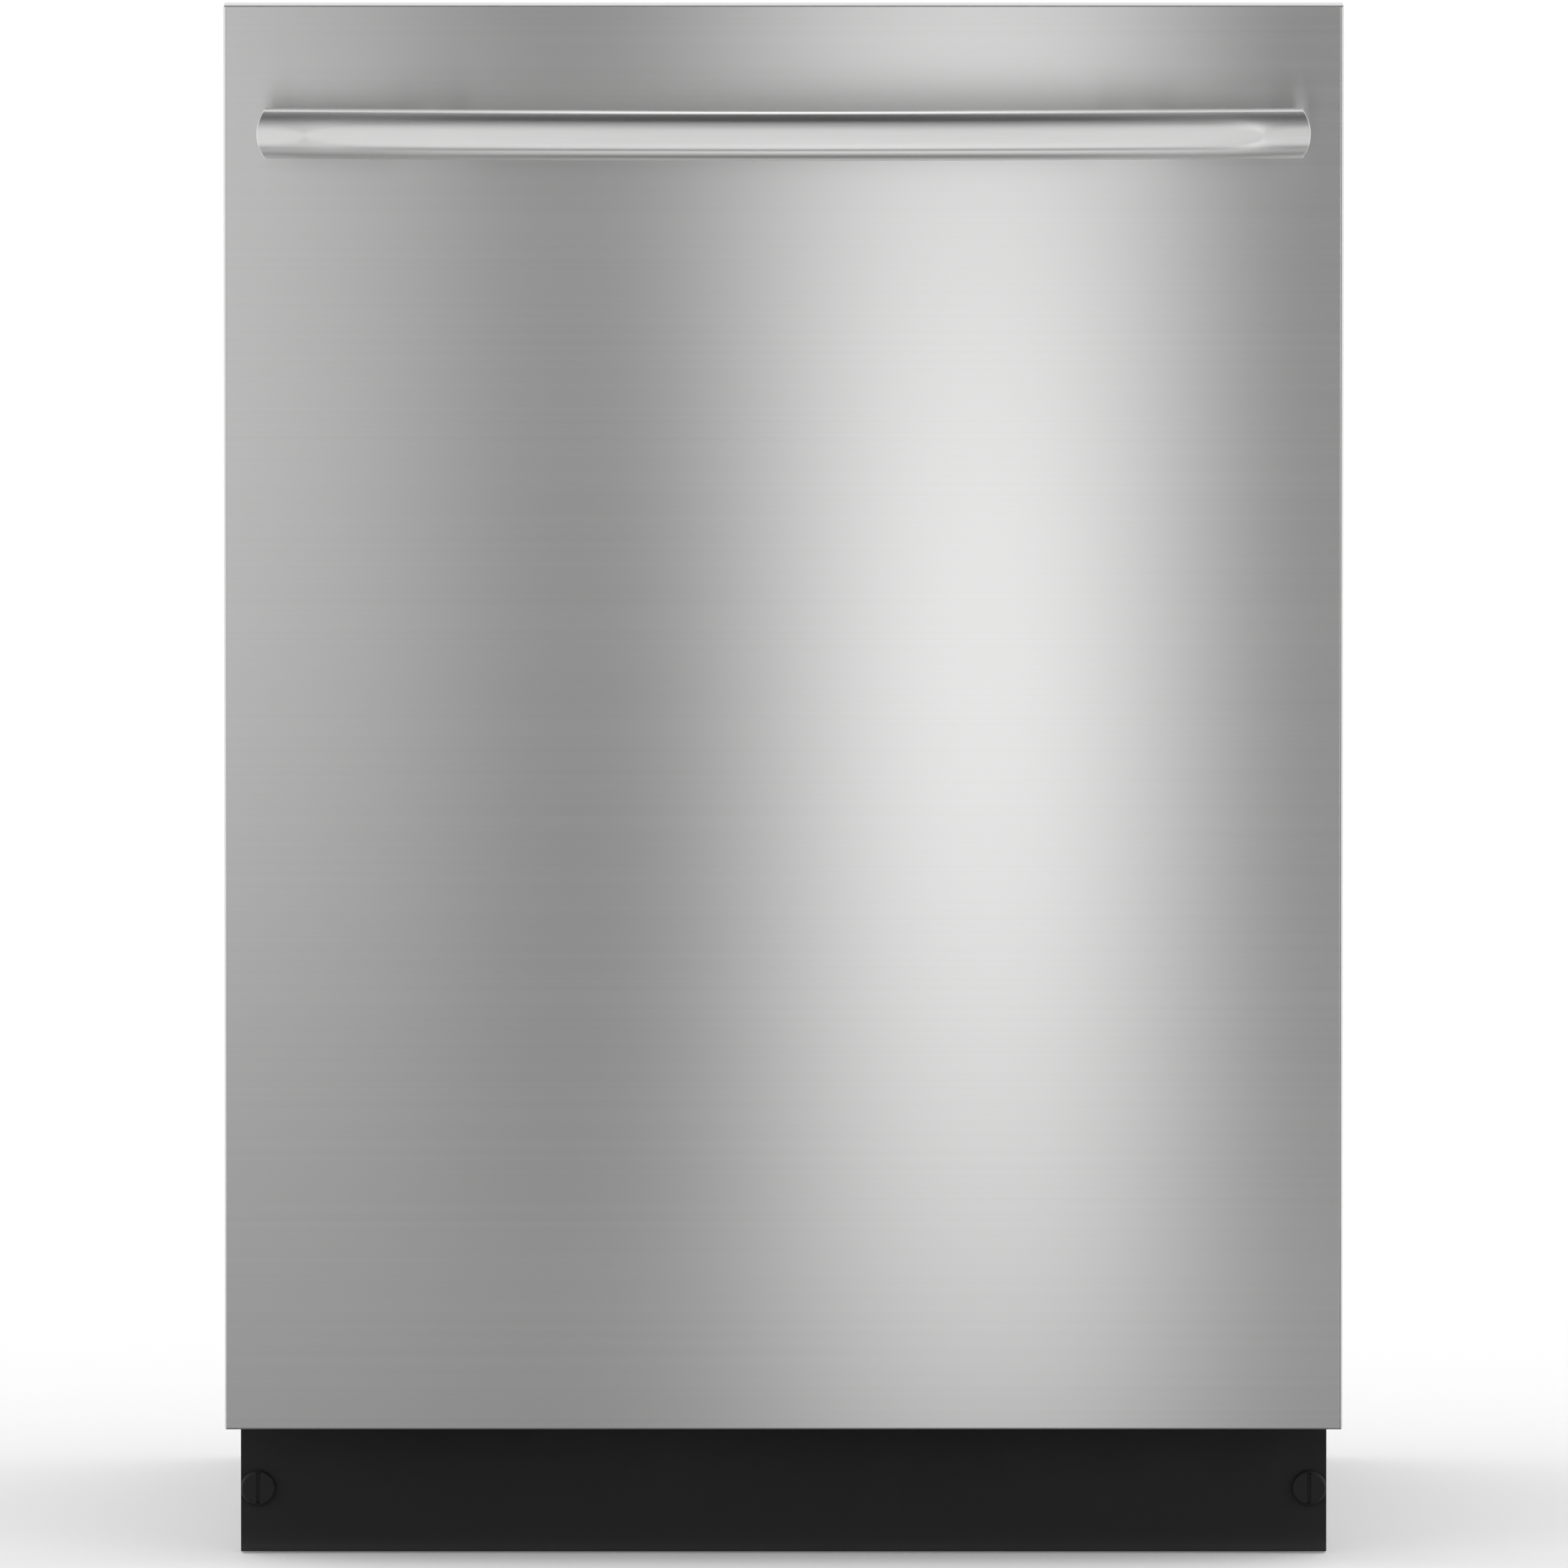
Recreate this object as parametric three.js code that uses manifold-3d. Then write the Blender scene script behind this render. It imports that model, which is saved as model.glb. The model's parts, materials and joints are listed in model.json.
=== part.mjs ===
// Built-in dishwasher, as an assembly of separate pieces. Millimetres, +Z up.
// X runs across the machine, Y from the front to the rear, and the origin is on the floor,
// at the middle of the machine's width and depth.
import * as THREE from 'three';
import { mergeVertices } from 'three/addons/utils/BufferGeometryUtils.js';
import Module from 'manifold-3d';

const wasm = await Module();
wasm.setup();

// ---------- Driving dimensions ----------
// Everything below is laid out in the machine's own Y, which is 0 at the door's outer face.
const WIDTH = 606;
const HEIGHT = 847.5;
const BODY_DEPTH = 610;

const GAP = 0.3;            // left between two pieces that touch
const RUNNING_GAP = 0.5;    // left around what turns or slides
const SHEET = 1;            // steel sheet of the door and the tub

const DOOR_DEPTH = 62;      // outer face to inner liner
const DOOR_BOTTOM = 74;
const PANEL_RETURN = 24;    // folded edges of the outer panel
const SIDE_BEND = 2;
const TOP_BEND = 1;
const HINGE_Y = 30;
const HINGE_RISE = 40;      // hinge axis above the door's bottom edge
const HINGE_PIN_R = 4;
const HINGE_EYE_R = 11;
const HINGE_PLATE = 3;
const HINGE_ARM_HEIGHT = 210;
const LINER_INSET = 11;     // liner side inside the door's side
const LINER_RISE = 12;      // liner bottom above the door's bottom
const LINER_BACK = 26;      // front edge of the liner's folded sides
const INSULATION = 10;

const CONSOLE_HEIGHT = 37;
const CONSOLE_INSET = 6;
const CONSOLE_DROP = 2.5;   // console top below the door's top fold
const CONSOLE_WALL = 2.5;
const KEY_WIDTH = 18;
const KEY_DEPTH = 10;
const KEY_LIP = 2;
const KEY_TRAVEL_ROOM = 4;
const KEY_PITCH = 46;
const MODULE_LENGTH = 210;
const MODULE_HEIGHT = 22;

const HANDLE_INSET = 18.5;   // bar's end inside the door's side
const HANDLE_HEIGHT = 27;
const HANDLE_DROP = 67.2;   // bar's centre line below the top of the door
const HANDLE_REACH = 64.5;  // front of the bar at its middle
const HANDLE_BOW = 22.5;    // how far the ends lie behind the middle
const HANDLE_DEPTH = 11;
const HANDLE_CROWN = 6;     // rise of the bar's rounded front
const HANDLE_LIP = 1.2;
const HANDLE_END_BULGE = 4.5;
const END_POST_WIDTH = 13.5;
const END_POST_INSET = 14;
const STANDOFF_WIDTH = 42;
const STANDOFF_HEIGHT = 18;
const STANDOFF_INSET = 93.5; // standoff's middle inside the bar's end

const DISPENSER_HEIGHT = 120;
const DISPENSER_WIDTH = 245;
const DISPENSER_Z = 440;
const CUP_WIDTH = 84;
const CUP_HEIGHT = 92;
const CUP_DEPTH = 13;
const FACE_PROUD = 2;       // dispenser face above the liner
const LID_THICKNESS = 2.5;
const CAP_R = 17;
const CAP_THICKNESS = 5;

const SEAL_GAP = 4;         // liner to tub flange, filled by the gasket
const SIDE_GAP = 17;        // tub side inside the door's side
const REAR_GAP = 20;
const ROOF_DROP = 52;       // tub roof below the top of the door
const FLANGE = 12;
const FLANGE_TOP_DROP = 8;
const FLOOR_DROP = 14;      // tub floor below the wheel tracks
const TRACK_WIDTH = 38;
const TRACK_SLOPE = 14;

const BASE_CLEAR = 20;      // base frame above the ground
const BASE_WALL = 4;
const BASE_FRONT = 84;
const BASE_INSET = 15;      // base side inside the door's side
const PAD_SIZE = 30;
const PAD_THICKNESS = 12;
const LEG_R = 5;
const FOOT_R = 16;
const FOOT_HEIGHT = 8;
const LEG_TOP = 105;

const TOE_RECESS = 65;
const TOE_INSET = 7.7;
const TOE_TOP = 72;
const TOE_CLEAR = 1;
const TOE_SHEET = 1.5;
const TOE_FOLD = 10;
const FASTENER_R = 9.5;
const FASTENER_Z = 36;
const FASTENER_PROUD = 3.5;
const FASTENER_SHANK_R = 4;
const SLOT_WIDTH = 1.8;
const SLOT_LENGTH = 16;
const SLOT_DEPTH = 1.2;

const SUMP_MARGIN = 8.5;    // sump's side outside the filter cup
const SUMP_WALL = 3;
const SUMP_BOTTOM = 60;
const SUMP_FLANGE = 8;
const PLATE_LAP = 16;       // filter plate past the sump's side
const FILTER_R = 35.5;
const FILTER_FLANGE = 4;    // cup's rim around its wall
const FILTER_DEPTH = 58;
const PEDESTAL_R = 12;
const MOTOR_R = 42;
const MOTOR_LENGTH = 118;
const MOTOR_CLEAR = 2;      // pump top below the sump's flange
const VOLUTE_DEPTH = 26;
const IMPELLER_R = 34;
const DRAIN_PUMP_R = 24;
const DRAIN_PUMP_LENGTH = 66;
const HEATER_R = 4;
const HEATER_LIFT = 4;
const HEATER_MARGIN = 70;
const HOSE_R = 6;
const HOSE_TOP_DROP = 130;

const ARM_WIDTH = 42;
const ARM_THICKNESS = 11;
const ARM_MARGIN = 20;
const ARM_HUB_R = 19;
const ARM_HUB_WALL = 5;
const LOWER_ARM_LIFT = 16;  // blade underside above the tub floor
const MID_ARM_DROP = 27;    // blade underside below the upper rack
const TOP_ARM_DROP = 38;    // blade underside below the tub roof
const FEED_R = 8;

const RACK_FRONT_GAP = 33;  // liner to rack front
const RACK_REAR_GAP = 30;
const RACK_BAR = 4;
const LOWER_RACK_SIDE = 40; // tub side to rack side
const LOWER_RACK_LIFT = 44; // rack floor above the tub floor
const LOWER_RACK_HEIGHT = 120;
const UPPER_RACK_SIDE = 28;
const UPPER_RACK_Z = 490;
const UPPER_RACK_HEIGHT = 112;
const TINE_HEIGHT = 52;
const TINE_WIDTH = 4;
const WHEEL_R = 17;
const WHEEL_WIDTH = 10;
const WHEEL_SETBACK = 100;
const AXLE_R = 3;
const RAIL_HEIGHT = 18;
const RAIL_DEPTH = 18;
const RAIL_SHEET = 2;
const RAIL_DROP = 17;       // rail's middle below the upper rack's rim
const BASKET_WIDTH = 224;
const BASKET_DEPTH = 72;
const BASKET_HEIGHT = 104;
const BASKET_WALL = 2;
const BASKET_CELLS = 4;

const BLANKET = 6;
const SPRING_R = 4.5;
const SPRING_WIRE_R = 0.9;
const SPRING_TURNS = 7;
const SPRING_LENGTH = 190;
const BRACKET_WIDTH = 26;
const BRACKET_LENGTH = 60;
const BRACKET_SHEET = 2;
const STRIKE_WIDTH = 44;

// ---------- Values worked out from them ----------
const halfWidth = WIDTH / 2;
const hingeZ = DOOR_BOTTOM + HINGE_RISE;
const trackZ = hingeZ + DOOR_DEPTH - HINGE_Y;   // level with the liner of the opened door
const floorZ = trackZ - FLOOR_DROP;
const tubHalf = halfWidth - SIDE_GAP;
const tubFront = DOOR_DEPTH + SEAL_GAP;
const tubRear = BODY_DEPTH - REAR_GAP;
const tubTop = HEIGHT - ROOF_DROP;
const tubInside = tubHalf - SHEET;
const tubBackFace = tubRear - SHEET - GAP;
const centreY = (tubFront + tubRear) / 2;
const filterOffset = PEDESTAL_R + FILTER_R + FILTER_FLANGE + RUNNING_GAP;
const sumpR = filterOffset + FILTER_R + SUMP_MARGIN;
const handleHalf = halfWidth - HANDLE_INSET;
const linerHalf = halfWidth - LINER_INSET;
const linerBottom = DOOR_BOTTOM + LINER_RISE;
const consoleTop = HEIGHT - CONSOLE_DROP;
const consoleBottom = consoleTop - CONSOLE_HEIGHT;
const linerTop = consoleBottom - GAP;
const handleZ = HEIGHT - HANDLE_DROP;
const armReach = Math.min(tubInside, (tubBackFace - tubFront) / 2) - ARM_MARGIN;
const rackFront = DOOR_DEPTH + RACK_FRONT_GAP;
const rackRear = tubRear - RACK_REAR_GAP;
const lowerRackHalf = tubHalf - LOWER_RACK_SIDE;
const lowerRackZ = floorZ + LOWER_RACK_LIFT;
const upperRackHalf = tubHalf - UPPER_RACK_SIDE;
const wheelZ = trackZ + GAP + WHEEL_R;
const railZ = UPPER_RACK_Z + UPPER_RACK_HEIGHT - RAIL_DROP;
const baseHalf = halfWidth - BASE_INSET;
const baseTop = trackZ - SHEET - GAP;
const fastenerX = halfWidth - TOE_INSET - FASTENER_R;
const legX = baseHalf - BASE_WALL - PAD_SIZE / 2;
const latchZ = (consoleTop + consoleBottom) / 2;

// ---------- Solid helpers ----------
function toSolid(geometry) {
  const bare = new THREE.BufferGeometry();
  bare.setAttribute('position', geometry.getAttribute('position'));
  if (geometry.index) bare.setIndex(geometry.index);
  const merged = mergeVertices(bare, 1e-3);
  const vertProperties = new Float32Array(merged.getAttribute('position').array);
  const triVerts = new Uint32Array(merged.index.array);
  return new wasm.Manifold(new wasm.Mesh({ numProp: 3, vertProperties, triVerts }));
}

function toGeometry(solid) {
  const mesh = solid.getMesh();
  const geometry = new THREE.BufferGeometry();
  geometry.setAttribute('position', new THREE.BufferAttribute(mesh.vertProperties, 3));
  geometry.setIndex(new THREE.BufferAttribute(mesh.triVerts, 1));
  geometry.computeVertexNormals();
  return geometry;
}

function join(...parts) {
  return toGeometry(parts.map(toSolid).reduce((whole, part) => whole.add(part)));
}

function cut(base, ...tools) {
  return toGeometry(tools.map(toSolid).reduce((rest, tool) => rest.subtract(tool), toSolid(base)));
}

function common(first, second) {
  return toGeometry(toSolid(first).intersect(toSolid(second)));
}

function box(x0, x1, y0, y1, z0, z1) {
  const geometry = new THREE.BoxGeometry(x1 - x0, y1 - y0, z1 - z0);
  return geometry.translate((x0 + x1) / 2, (y0 + y1) / 2, (z0 + z1) / 2);
}

function extrude(shape, depth, steps = 1) {
  return new THREE.ExtrudeGeometry(shape, { depth, steps, bevelEnabled: false, curveSegments: 6 });
}

// An outline in (y, z), run along X.
function prismX(shape, x0, x1, steps = 1) {
  const turn = new THREE.Matrix4().makeBasis(
    new THREE.Vector3(0, 1, 0), new THREE.Vector3(0, 0, 1), new THREE.Vector3(1, 0, 0));
  return extrude(shape, x1 - x0, steps).applyMatrix4(turn).translate(x0, 0, 0);
}

// An outline in (x, z), run along Y.
function prismY(shape, y0, y1) {
  return extrude(shape, y1 - y0).rotateX(Math.PI / 2).translate(0, y1, 0);
}

// An outline in (x, y), run along Z.
function prismZ(shape, z0, z1) {
  return extrude(shape, z1 - z0).translate(0, 0, z0);
}

function rodX(radius, x0, x1, y, z, sides = 16) {
  const rod = new THREE.CylinderGeometry(radius, radius, x1 - x0, sides).rotateZ(Math.PI / 2);
  return rod.translate((x0 + x1) / 2, y, z);
}

function rodY(radius, y0, y1, x, z, sides = 16) {
  return new THREE.CylinderGeometry(radius, radius, y1 - y0, sides).translate(x, (y0 + y1) / 2, z);
}

function rodZ(radius, z0, z1, x, y, sides = 16) {
  const rod = new THREE.CylinderGeometry(radius, radius, z1 - z0, sides).rotateX(Math.PI / 2);
  return rod.translate(x, y, (z0 + z1) / 2);
}

// A turned piece about Z: pairs of radius and height, closed on themselves or on the axis.
function turned(profile, sides = 24) {
  const points = profile.map(([radius, height]) => new THREE.Vector2(radius, height));
  return new THREE.LatheGeometry(points, sides).rotateX(Math.PI / 2);
}

function outline(points) {
  return new THREE.Shape(points.map(([a, b]) => new THREE.Vector2(a, b)));
}

function rectangle(a0, a1, b0, b1) {
  return outline([[a0, b0], [a1, b0], [a1, b1], [a0, b1]]);
}

// A sheet bent along an open line of (a, b) points, its thickness hanging below the line.
function bentSheet(points, thickness) {
  const under = points.map(([a, b]) => [a, b - thickness]).reverse();
  return outline([...points, ...under]);
}

// A route of straight stretches with rounded corners, as a solid round bar.
function roundBar(points, radius, bend, steps, sides = 8) {
  const route = new THREE.CurvePath();
  const stops = points.map((point) => new THREE.Vector3(...point));
  let start = stops[0];
  for (let i = 1; i < stops.length - 1; i += 1) {
    const inward = stops[i].clone().add(stops[i - 1].clone().sub(stops[i]).setLength(bend));
    const onward = stops[i].clone().add(stops[i + 1].clone().sub(stops[i]).setLength(bend));
    route.add(new THREE.LineCurve3(start, inward));
    route.add(new THREE.QuadraticBezierCurve3(inward, stops[i], onward));
    start = onward;
  }
  route.add(new THREE.LineCurve3(start, stops.at(-1)));
  return alongPath(route, radius, steps, sides);
}

function alongPath(extrudePath, radius, steps, sides) {
  const ring = [];
  for (let i = 0; i < sides; i += 1) {
    const angle = (i / sides) * Math.PI * 2;
    ring.push([radius * Math.cos(angle), radius * Math.sin(angle)]);
  }
  return new THREE.ExtrudeGeometry(outline(ring), { extrudePath, steps, bevelEnabled: false });
}

// ---------- Materials ----------
const FINISHES = {
  brushed: { color: 0xb9bab9, roughness: 0.34, metalness: 1 },
  handle: { color: 0xc9cac9, roughness: 0.26, metalness: 1 },
  tubSteel: { color: 0xb4b6b8, roughness: 0.28, metalness: 1 },
  zinc: { color: 0x9c9ea0, roughness: 0.5, metalness: 0.9 },
  blackPaint: { color: 0x222222, roughness: 0.55, metalness: 0 },
  blackPlastic: { color: 0x1a1a1a, roughness: 0.45, metalness: 0 },
  greyPlastic: { color: 0x8d9093, roughness: 0.5, metalness: 0 },
  whitePlastic: { color: 0xdcdcd8, roughness: 0.45, metalness: 0 },
  coatedWire: { color: 0x9aa0a5, roughness: 0.5, metalness: 0 },
  rubber: { color: 0x2a2a2a, roughness: 0.85, metalness: 0 },
  felt: { color: 0x3b3b3d, roughness: 0.95, metalness: 0 },
  spring: { color: 0x8a8c8e, roughness: 0.35, metalness: 1 },
};

function addPiece(group, name, geometry, finish, place = [0, 0, 0]) {
  const mesh = new THREE.Mesh(geometry, new THREE.MeshStandardMaterial(FINISHES[finish]));
  mesh.name = name;
  mesh.position.set(...place);
  group.add(mesh);
  return mesh;
}

const SIDES = [['left', -1], ['right', 1]];

// ---------- Door ----------
// A closed front with rounded side edges and softened top and bottom edges.
function panelBody(half, front, rear, bottom, top, sideBend, topBend) {
  const plan = new THREE.Shape();
  plan.moveTo(-half, rear);
  plan.lineTo(-half, front + sideBend);
  plan.absarc(-half + sideBend, front + sideBend, sideBend, Math.PI, Math.PI * 1.5);
  plan.lineTo(half - sideBend, front);
  plan.absarc(half - sideBend, front + sideBend, sideBend, -Math.PI / 2, 0);
  plan.lineTo(half, rear);
  const section = new THREE.Shape();
  section.moveTo(rear, top);
  section.lineTo(front + topBend, top);
  section.absarc(front + topBend, top - topBend, topBend, Math.PI / 2, Math.PI);
  section.lineTo(front, bottom + topBend);
  section.absarc(front + topBend, bottom + topBend, topBend, Math.PI, Math.PI * 1.5);
  section.lineTo(rear, bottom);
  return common(prismZ(plan, bottom, top), prismX(section, -half, half));
}

function outerPanel() {
  const outside = panelBody(halfWidth, 0, PANEL_RETURN, DOOR_BOTTOM, HEIGHT, SIDE_BEND, TOP_BEND);
  const inside = panelBody(halfWidth - SHEET, SHEET, PANEL_RETURN + SHEET, DOOR_BOTTOM + SHEET,
    HEIGHT - SHEET, SIDE_BEND - SHEET / 2, TOP_BEND / 2);
  return cut(outside, inside);
}

function innerLiner() {
  const pan = box(-linerHalf, linerHalf, LINER_BACK, DOOR_DEPTH, linerBottom, linerTop);
  const hollow = box(-linerHalf + SHEET, linerHalf - SHEET, 0, DOOR_DEPTH - SHEET,
    linerBottom + SHEET, linerTop - SHEET);
  const seat = box(-DISPENSER_WIDTH / 2 - GAP, DISPENSER_WIDTH / 2 + GAP, 0, DOOR_DEPTH + SHEET,
    DISPENSER_Z - GAP, DISPENSER_Z + DISPENSER_HEIGHT + GAP);
  return cut(pan, hollow, seat);
}

const KEY_NAMES = ['key_power', 'key_cycle', 'key_options', 'key_start'];
const keyY = (PANEL_RETURN + DOOR_DEPTH) / 2;

function keyX(index) {
  return halfWidth - CONSOLE_INSET - KEY_PITCH * (KEY_NAMES.length - index);
}

function controlConsole() {
  const half = halfWidth - CONSOLE_INSET;
  const front = PANEL_RETURN + GAP;
  const shell = box(-half, half, front, DOOR_DEPTH, consoleBottom, consoleTop);
  const hollow = box(-half + CONSOLE_WALL, half - CONSOLE_WALL, front + CONSOLE_WALL,
    DOOR_DEPTH - CONSOLE_WALL, consoleBottom - CONSOLE_WALL, consoleTop - CONSOLE_WALL);
  const keyHoles = KEY_NAMES.map((_, i) => box(
    keyX(i) - KEY_WIDTH / 2 - RUNNING_GAP, keyX(i) + KEY_WIDTH / 2 + RUNNING_GAP,
    keyY - KEY_DEPTH / 2 - RUNNING_GAP, keyY + KEY_DEPTH / 2 + RUNNING_GAP,
    consoleTop - 2 * CONSOLE_WALL, consoleTop + CONSOLE_WALL));
  const latchSlot = latchWindow(DOOR_DEPTH - 2 * CONSOLE_WALL, DOOR_DEPTH + CONSOLE_WALL);
  return cut(shell, hollow, latchSlot, ...keyHoles);
}

function key() {
  const lipTop = -CONSOLE_WALL - RUNNING_GAP;
  const cap = box(-KEY_WIDTH / 2, KEY_WIDTH / 2, -KEY_DEPTH / 2, KEY_DEPTH / 2, lipTop - KEY_LIP, 1);
  const lip = box(-KEY_WIDTH / 2 - KEY_LIP, KEY_WIDTH / 2 + KEY_LIP, -KEY_DEPTH / 2 - KEY_LIP,
    KEY_DEPTH / 2 + KEY_LIP, lipTop - KEY_LIP, lipTop);
  return join(cap, lip);
}

function controlModule() {
  const right = halfWidth - CONSOLE_INSET - 2 * CONSOLE_WALL;
  const top = consoleTop - CONSOLE_WALL - KEY_LIP - KEY_TRAVEL_ROOM;
  const board = box(right - MODULE_LENGTH, right, PANEL_RETURN + 2 * CONSOLE_WALL,
    DOOR_DEPTH - 2 * CONSOLE_WALL, top - MODULE_HEIGHT, top);
  const plug = box(right - MODULE_LENGTH - PAD_THICKNESS, right - MODULE_LENGTH + 1,
    keyY - KEY_DEPTH / 2, keyY + KEY_DEPTH / 2, top - MODULE_HEIGHT, top - MODULE_HEIGHT / 2);
  return join(board, plug);
}

// ---------- Handle ----------
function bowAt(x) {
  return HANDLE_BOW * (x / handleHalf) ** 2 - HANDLE_REACH;
}

function handleSection() {
  const half = HANDLE_HEIGHT / 2;
  const arcs = 8;
  const points = [[HANDLE_DEPTH, -half + HANDLE_LIP], [HANDLE_DEPTH, half - HANDLE_LIP]];
  points.push([HANDLE_DEPTH - HANDLE_LIP, half]);
  for (let i = 0; i <= arcs; i += 1) {
    const height = half * (1 - (2 * i) / arcs);
    points.push([HANDLE_CROWN * (height / half) ** 2, height]);
  }
  points.push([HANDLE_DEPTH - HANDLE_LIP, -half]);
  return outline(points.reverse());
}

function bend(geometry) {
  const position = geometry.getAttribute('position');
  for (let i = 0; i < position.count; i += 1) {
    position.setY(i, position.getY(i) + bowAt(position.getX(i)));
  }
  return geometry;
}

function handleFront() {
  const corner = handleHalf - HANDLE_END_BULGE;
  const shape = new THREE.Shape();
  shape.moveTo(-corner, -HANDLE_HEIGHT);
  shape.lineTo(corner, -HANDLE_HEIGHT);
  shape.lineTo(corner, -HANDLE_HEIGHT / 2);
  shape.quadraticCurveTo(handleHalf + HANDLE_END_BULGE, 0, corner, HANDLE_HEIGHT / 2);
  shape.lineTo(corner, HANDLE_HEIGHT);
  shape.lineTo(-corner, HANDLE_HEIGHT);
  shape.lineTo(-corner, HANDLE_HEIGHT / 2);
  shape.quadraticCurveTo(-handleHalf - HANDLE_END_BULGE, 0, -corner, -HANDLE_HEIGHT / 2);
  return prismY(shape, -2 * HANDLE_REACH, 0);
}

function handleBar() {
  const bar = common(bend(prismX(handleSection(), -handleHalf, handleHalf, 20)), handleFront());
  const posts = SIDES.map(([, side]) => {
    const middle = side * (handleHalf - END_POST_INSET);
    return box(middle - END_POST_WIDTH / 2, middle + END_POST_WIDTH / 2,
      bowAt(middle) + HANDLE_DEPTH - HANDLE_LIP, -GAP, -STANDOFF_HEIGHT / 2, STANDOFF_HEIGHT / 2);
  });
  return join(bar, ...posts);
}

// A block from the door's face to the back of the bowed bar.
function handleStandoff(side) {
  const steps = 4;
  const near = side * (handleHalf - STANDOFF_INSET) - STANDOFF_WIDTH / 2;
  const points = [[near + STANDOFF_WIDTH, -GAP], [near, -GAP]];
  for (let i = 0; i <= steps; i += 1) {
    const x = near + (STANDOFF_WIDTH * i) / steps;
    points.push([x, bowAt(x) + HANDLE_DEPTH + GAP]);
  }
  return prismZ(outline(points), -STANDOFF_HEIGHT / 2, STANDOFF_HEIGHT / 2);
}

// ---------- Dispenser and latch ----------
const faceY = DOOR_DEPTH + FACE_PROUD;
const cupX = -DISPENSER_WIDTH / 2 + CUP_WIDTH * 1.5;
const capX = DISPENSER_WIDTH / 2 - 2 * CAP_R;
const dispenserMiddle = DISPENSER_Z + DISPENSER_HEIGHT / 2;

function dispenser() {
  const half = DISPENSER_WIDTH / 2;
  const body = box(-half, half, faceY - 2 * CUP_DEPTH, faceY, DISPENSER_Z, DISPENSER_Z + DISPENSER_HEIGHT);
  const cup = box(cupX - CUP_WIDTH / 2, cupX + CUP_WIDTH / 2, faceY - CUP_DEPTH, faceY + 1,
    dispenserMiddle - CUP_HEIGHT / 2, dispenserMiddle + CUP_HEIGHT / 2);
  const capSeat = rodY(CAP_R + RUNNING_GAP, faceY - CAP_THICKNESS, faceY + 1, capX, dispenserMiddle, 24);
  return cut(body, cup, capSeat);
}

// A flat sliding lid with a finger rib.
function dispenserLid() {
  const wide = CUP_WIDTH / 2 - 1;
  const tall = CUP_HEIGHT / 2 + 4;
  const plate = box(-wide, wide, 0, LID_THICKNESS, -tall, tall);
  const rib = box(wide - 8, wide - 4, LID_THICKNESS - 1, LID_THICKNESS + 4, -tall / 2, tall / 2);
  return join(plate, rib);
}

function rinseCap() {
  const plug = rodY(CAP_R, -CAP_THICKNESS + RUNNING_GAP, FACE_PROUD, 0, 0, 24);
  const grip = box(-CAP_R * 0.8, CAP_R * 0.8, FACE_PROUD - 1, FACE_PROUD + 4, -2, 2);
  return join(plug, grip);
}

const LATCH_HALF = 6;
const LATCH_THICKNESS = 6;
const LATCH_ROOM = 4;
const LATCH_TIP = 10;       // finger past the tub flange
const LATCH_PIVOT_Y = 42;

function latchWindow(y0, y1) {
  const half = LATCH_HALF + LATCH_ROOM / 2;
  const tall = LATCH_THICKNESS / 2 + LATCH_ROOM;
  return box(-half, half, y0, y1, latchZ - tall, latchZ + tall);
}

function latchHook() {
  const finger = box(-LATCH_HALF, LATCH_HALF, 0, tubFront + LATCH_TIP - LATCH_PIVOT_Y,
    -LATCH_THICKNESS / 2, LATCH_THICKNESS / 2);
  const hub = rodX(LATCH_THICKNESS, -LATCH_HALF, LATCH_HALF, 0, 0);
  return join(finger, hub);
}

function latchStrike() {
  const front = tubFront + SHEET + GAP;
  const half = STRIKE_WIDTH / 2;
  const loop = box(-half, half, front, front + LATCH_TIP + LATCH_ROOM, latchZ - FLANGE, latchZ + FLANGE);
  return cut(loop, latchWindow(front - 1, front + 2 * LATCH_TIP));
}

// ---------- Door hinges ----------
const armInner = linerHalf + GAP;
const armOuter = armInner + HINGE_PLATE;
const earInner = armOuter + RUNNING_GAP;
const earOuter = earInner + HINGE_PLATE;
const LEVER_Y = 38;
const LEVER_Z = -13;
const LEVER_R = 5;

function mirrorX(geometry, side) {
  if (side > 0) return geometry;
  const mirrored = toSolid(geometry).mirror([1, 0, 0]);
  return toGeometry(mirrored);
}

function hingeArm(side) {
  const blade = outline([[-HINGE_EYE_R, 0], [HINGE_EYE_R, -HINGE_EYE_R / 2], [LEVER_Y, LEVER_Z - LEVER_R],
    [LEVER_Y + LEVER_R, LEVER_Z], [LEVER_Y, LEVER_Z + LEVER_R], [HINGE_EYE_R + 4, HINGE_EYE_R],
    [HINGE_EYE_R + 4, HINGE_ARM_HEIGHT], [-HINGE_EYE_R, HINGE_ARM_HEIGHT]]);
  const plate = prismX(blade, armInner, armOuter);
  const eye = rodX(HINGE_EYE_R, armInner, armOuter, 0, 0, 20);
  const pin = rodX(HINGE_PIN_R, armInner, earOuter + 1, 0, 0);
  return mirrorX(join(plate, eye, pin), side);
}

// ---------- Tub ----------
function tubWrapper() {
  const low = trackZ + GAP;
  const side = tubHalf;
  const skirt = outline([[-side, low], [-side, tubTop], [side, tubTop], [side, low],
    [tubInside, low], [tubInside, tubTop - SHEET], [-tubInside, tubTop - SHEET], [-tubInside, low]]);
  const wide = tubHalf + FLANGE;
  const top = HEIGHT - FLANGE_TOP_DROP;
  const rim = outline([[-wide, low], [-wide, top], [wide, top], [wide, low],
    [tubInside, low], [tubInside, tubTop - SHEET], [-tubInside, tubTop - SHEET], [-tubInside, low]]);
  const wrapper = join(prismY(skirt, tubFront, tubRear), prismY(rim, tubFront, tubFront + SHEET));
  return cut(wrapper, latchWindow(tubFront - 1, tubFront + 2 * SHEET));
}

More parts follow.
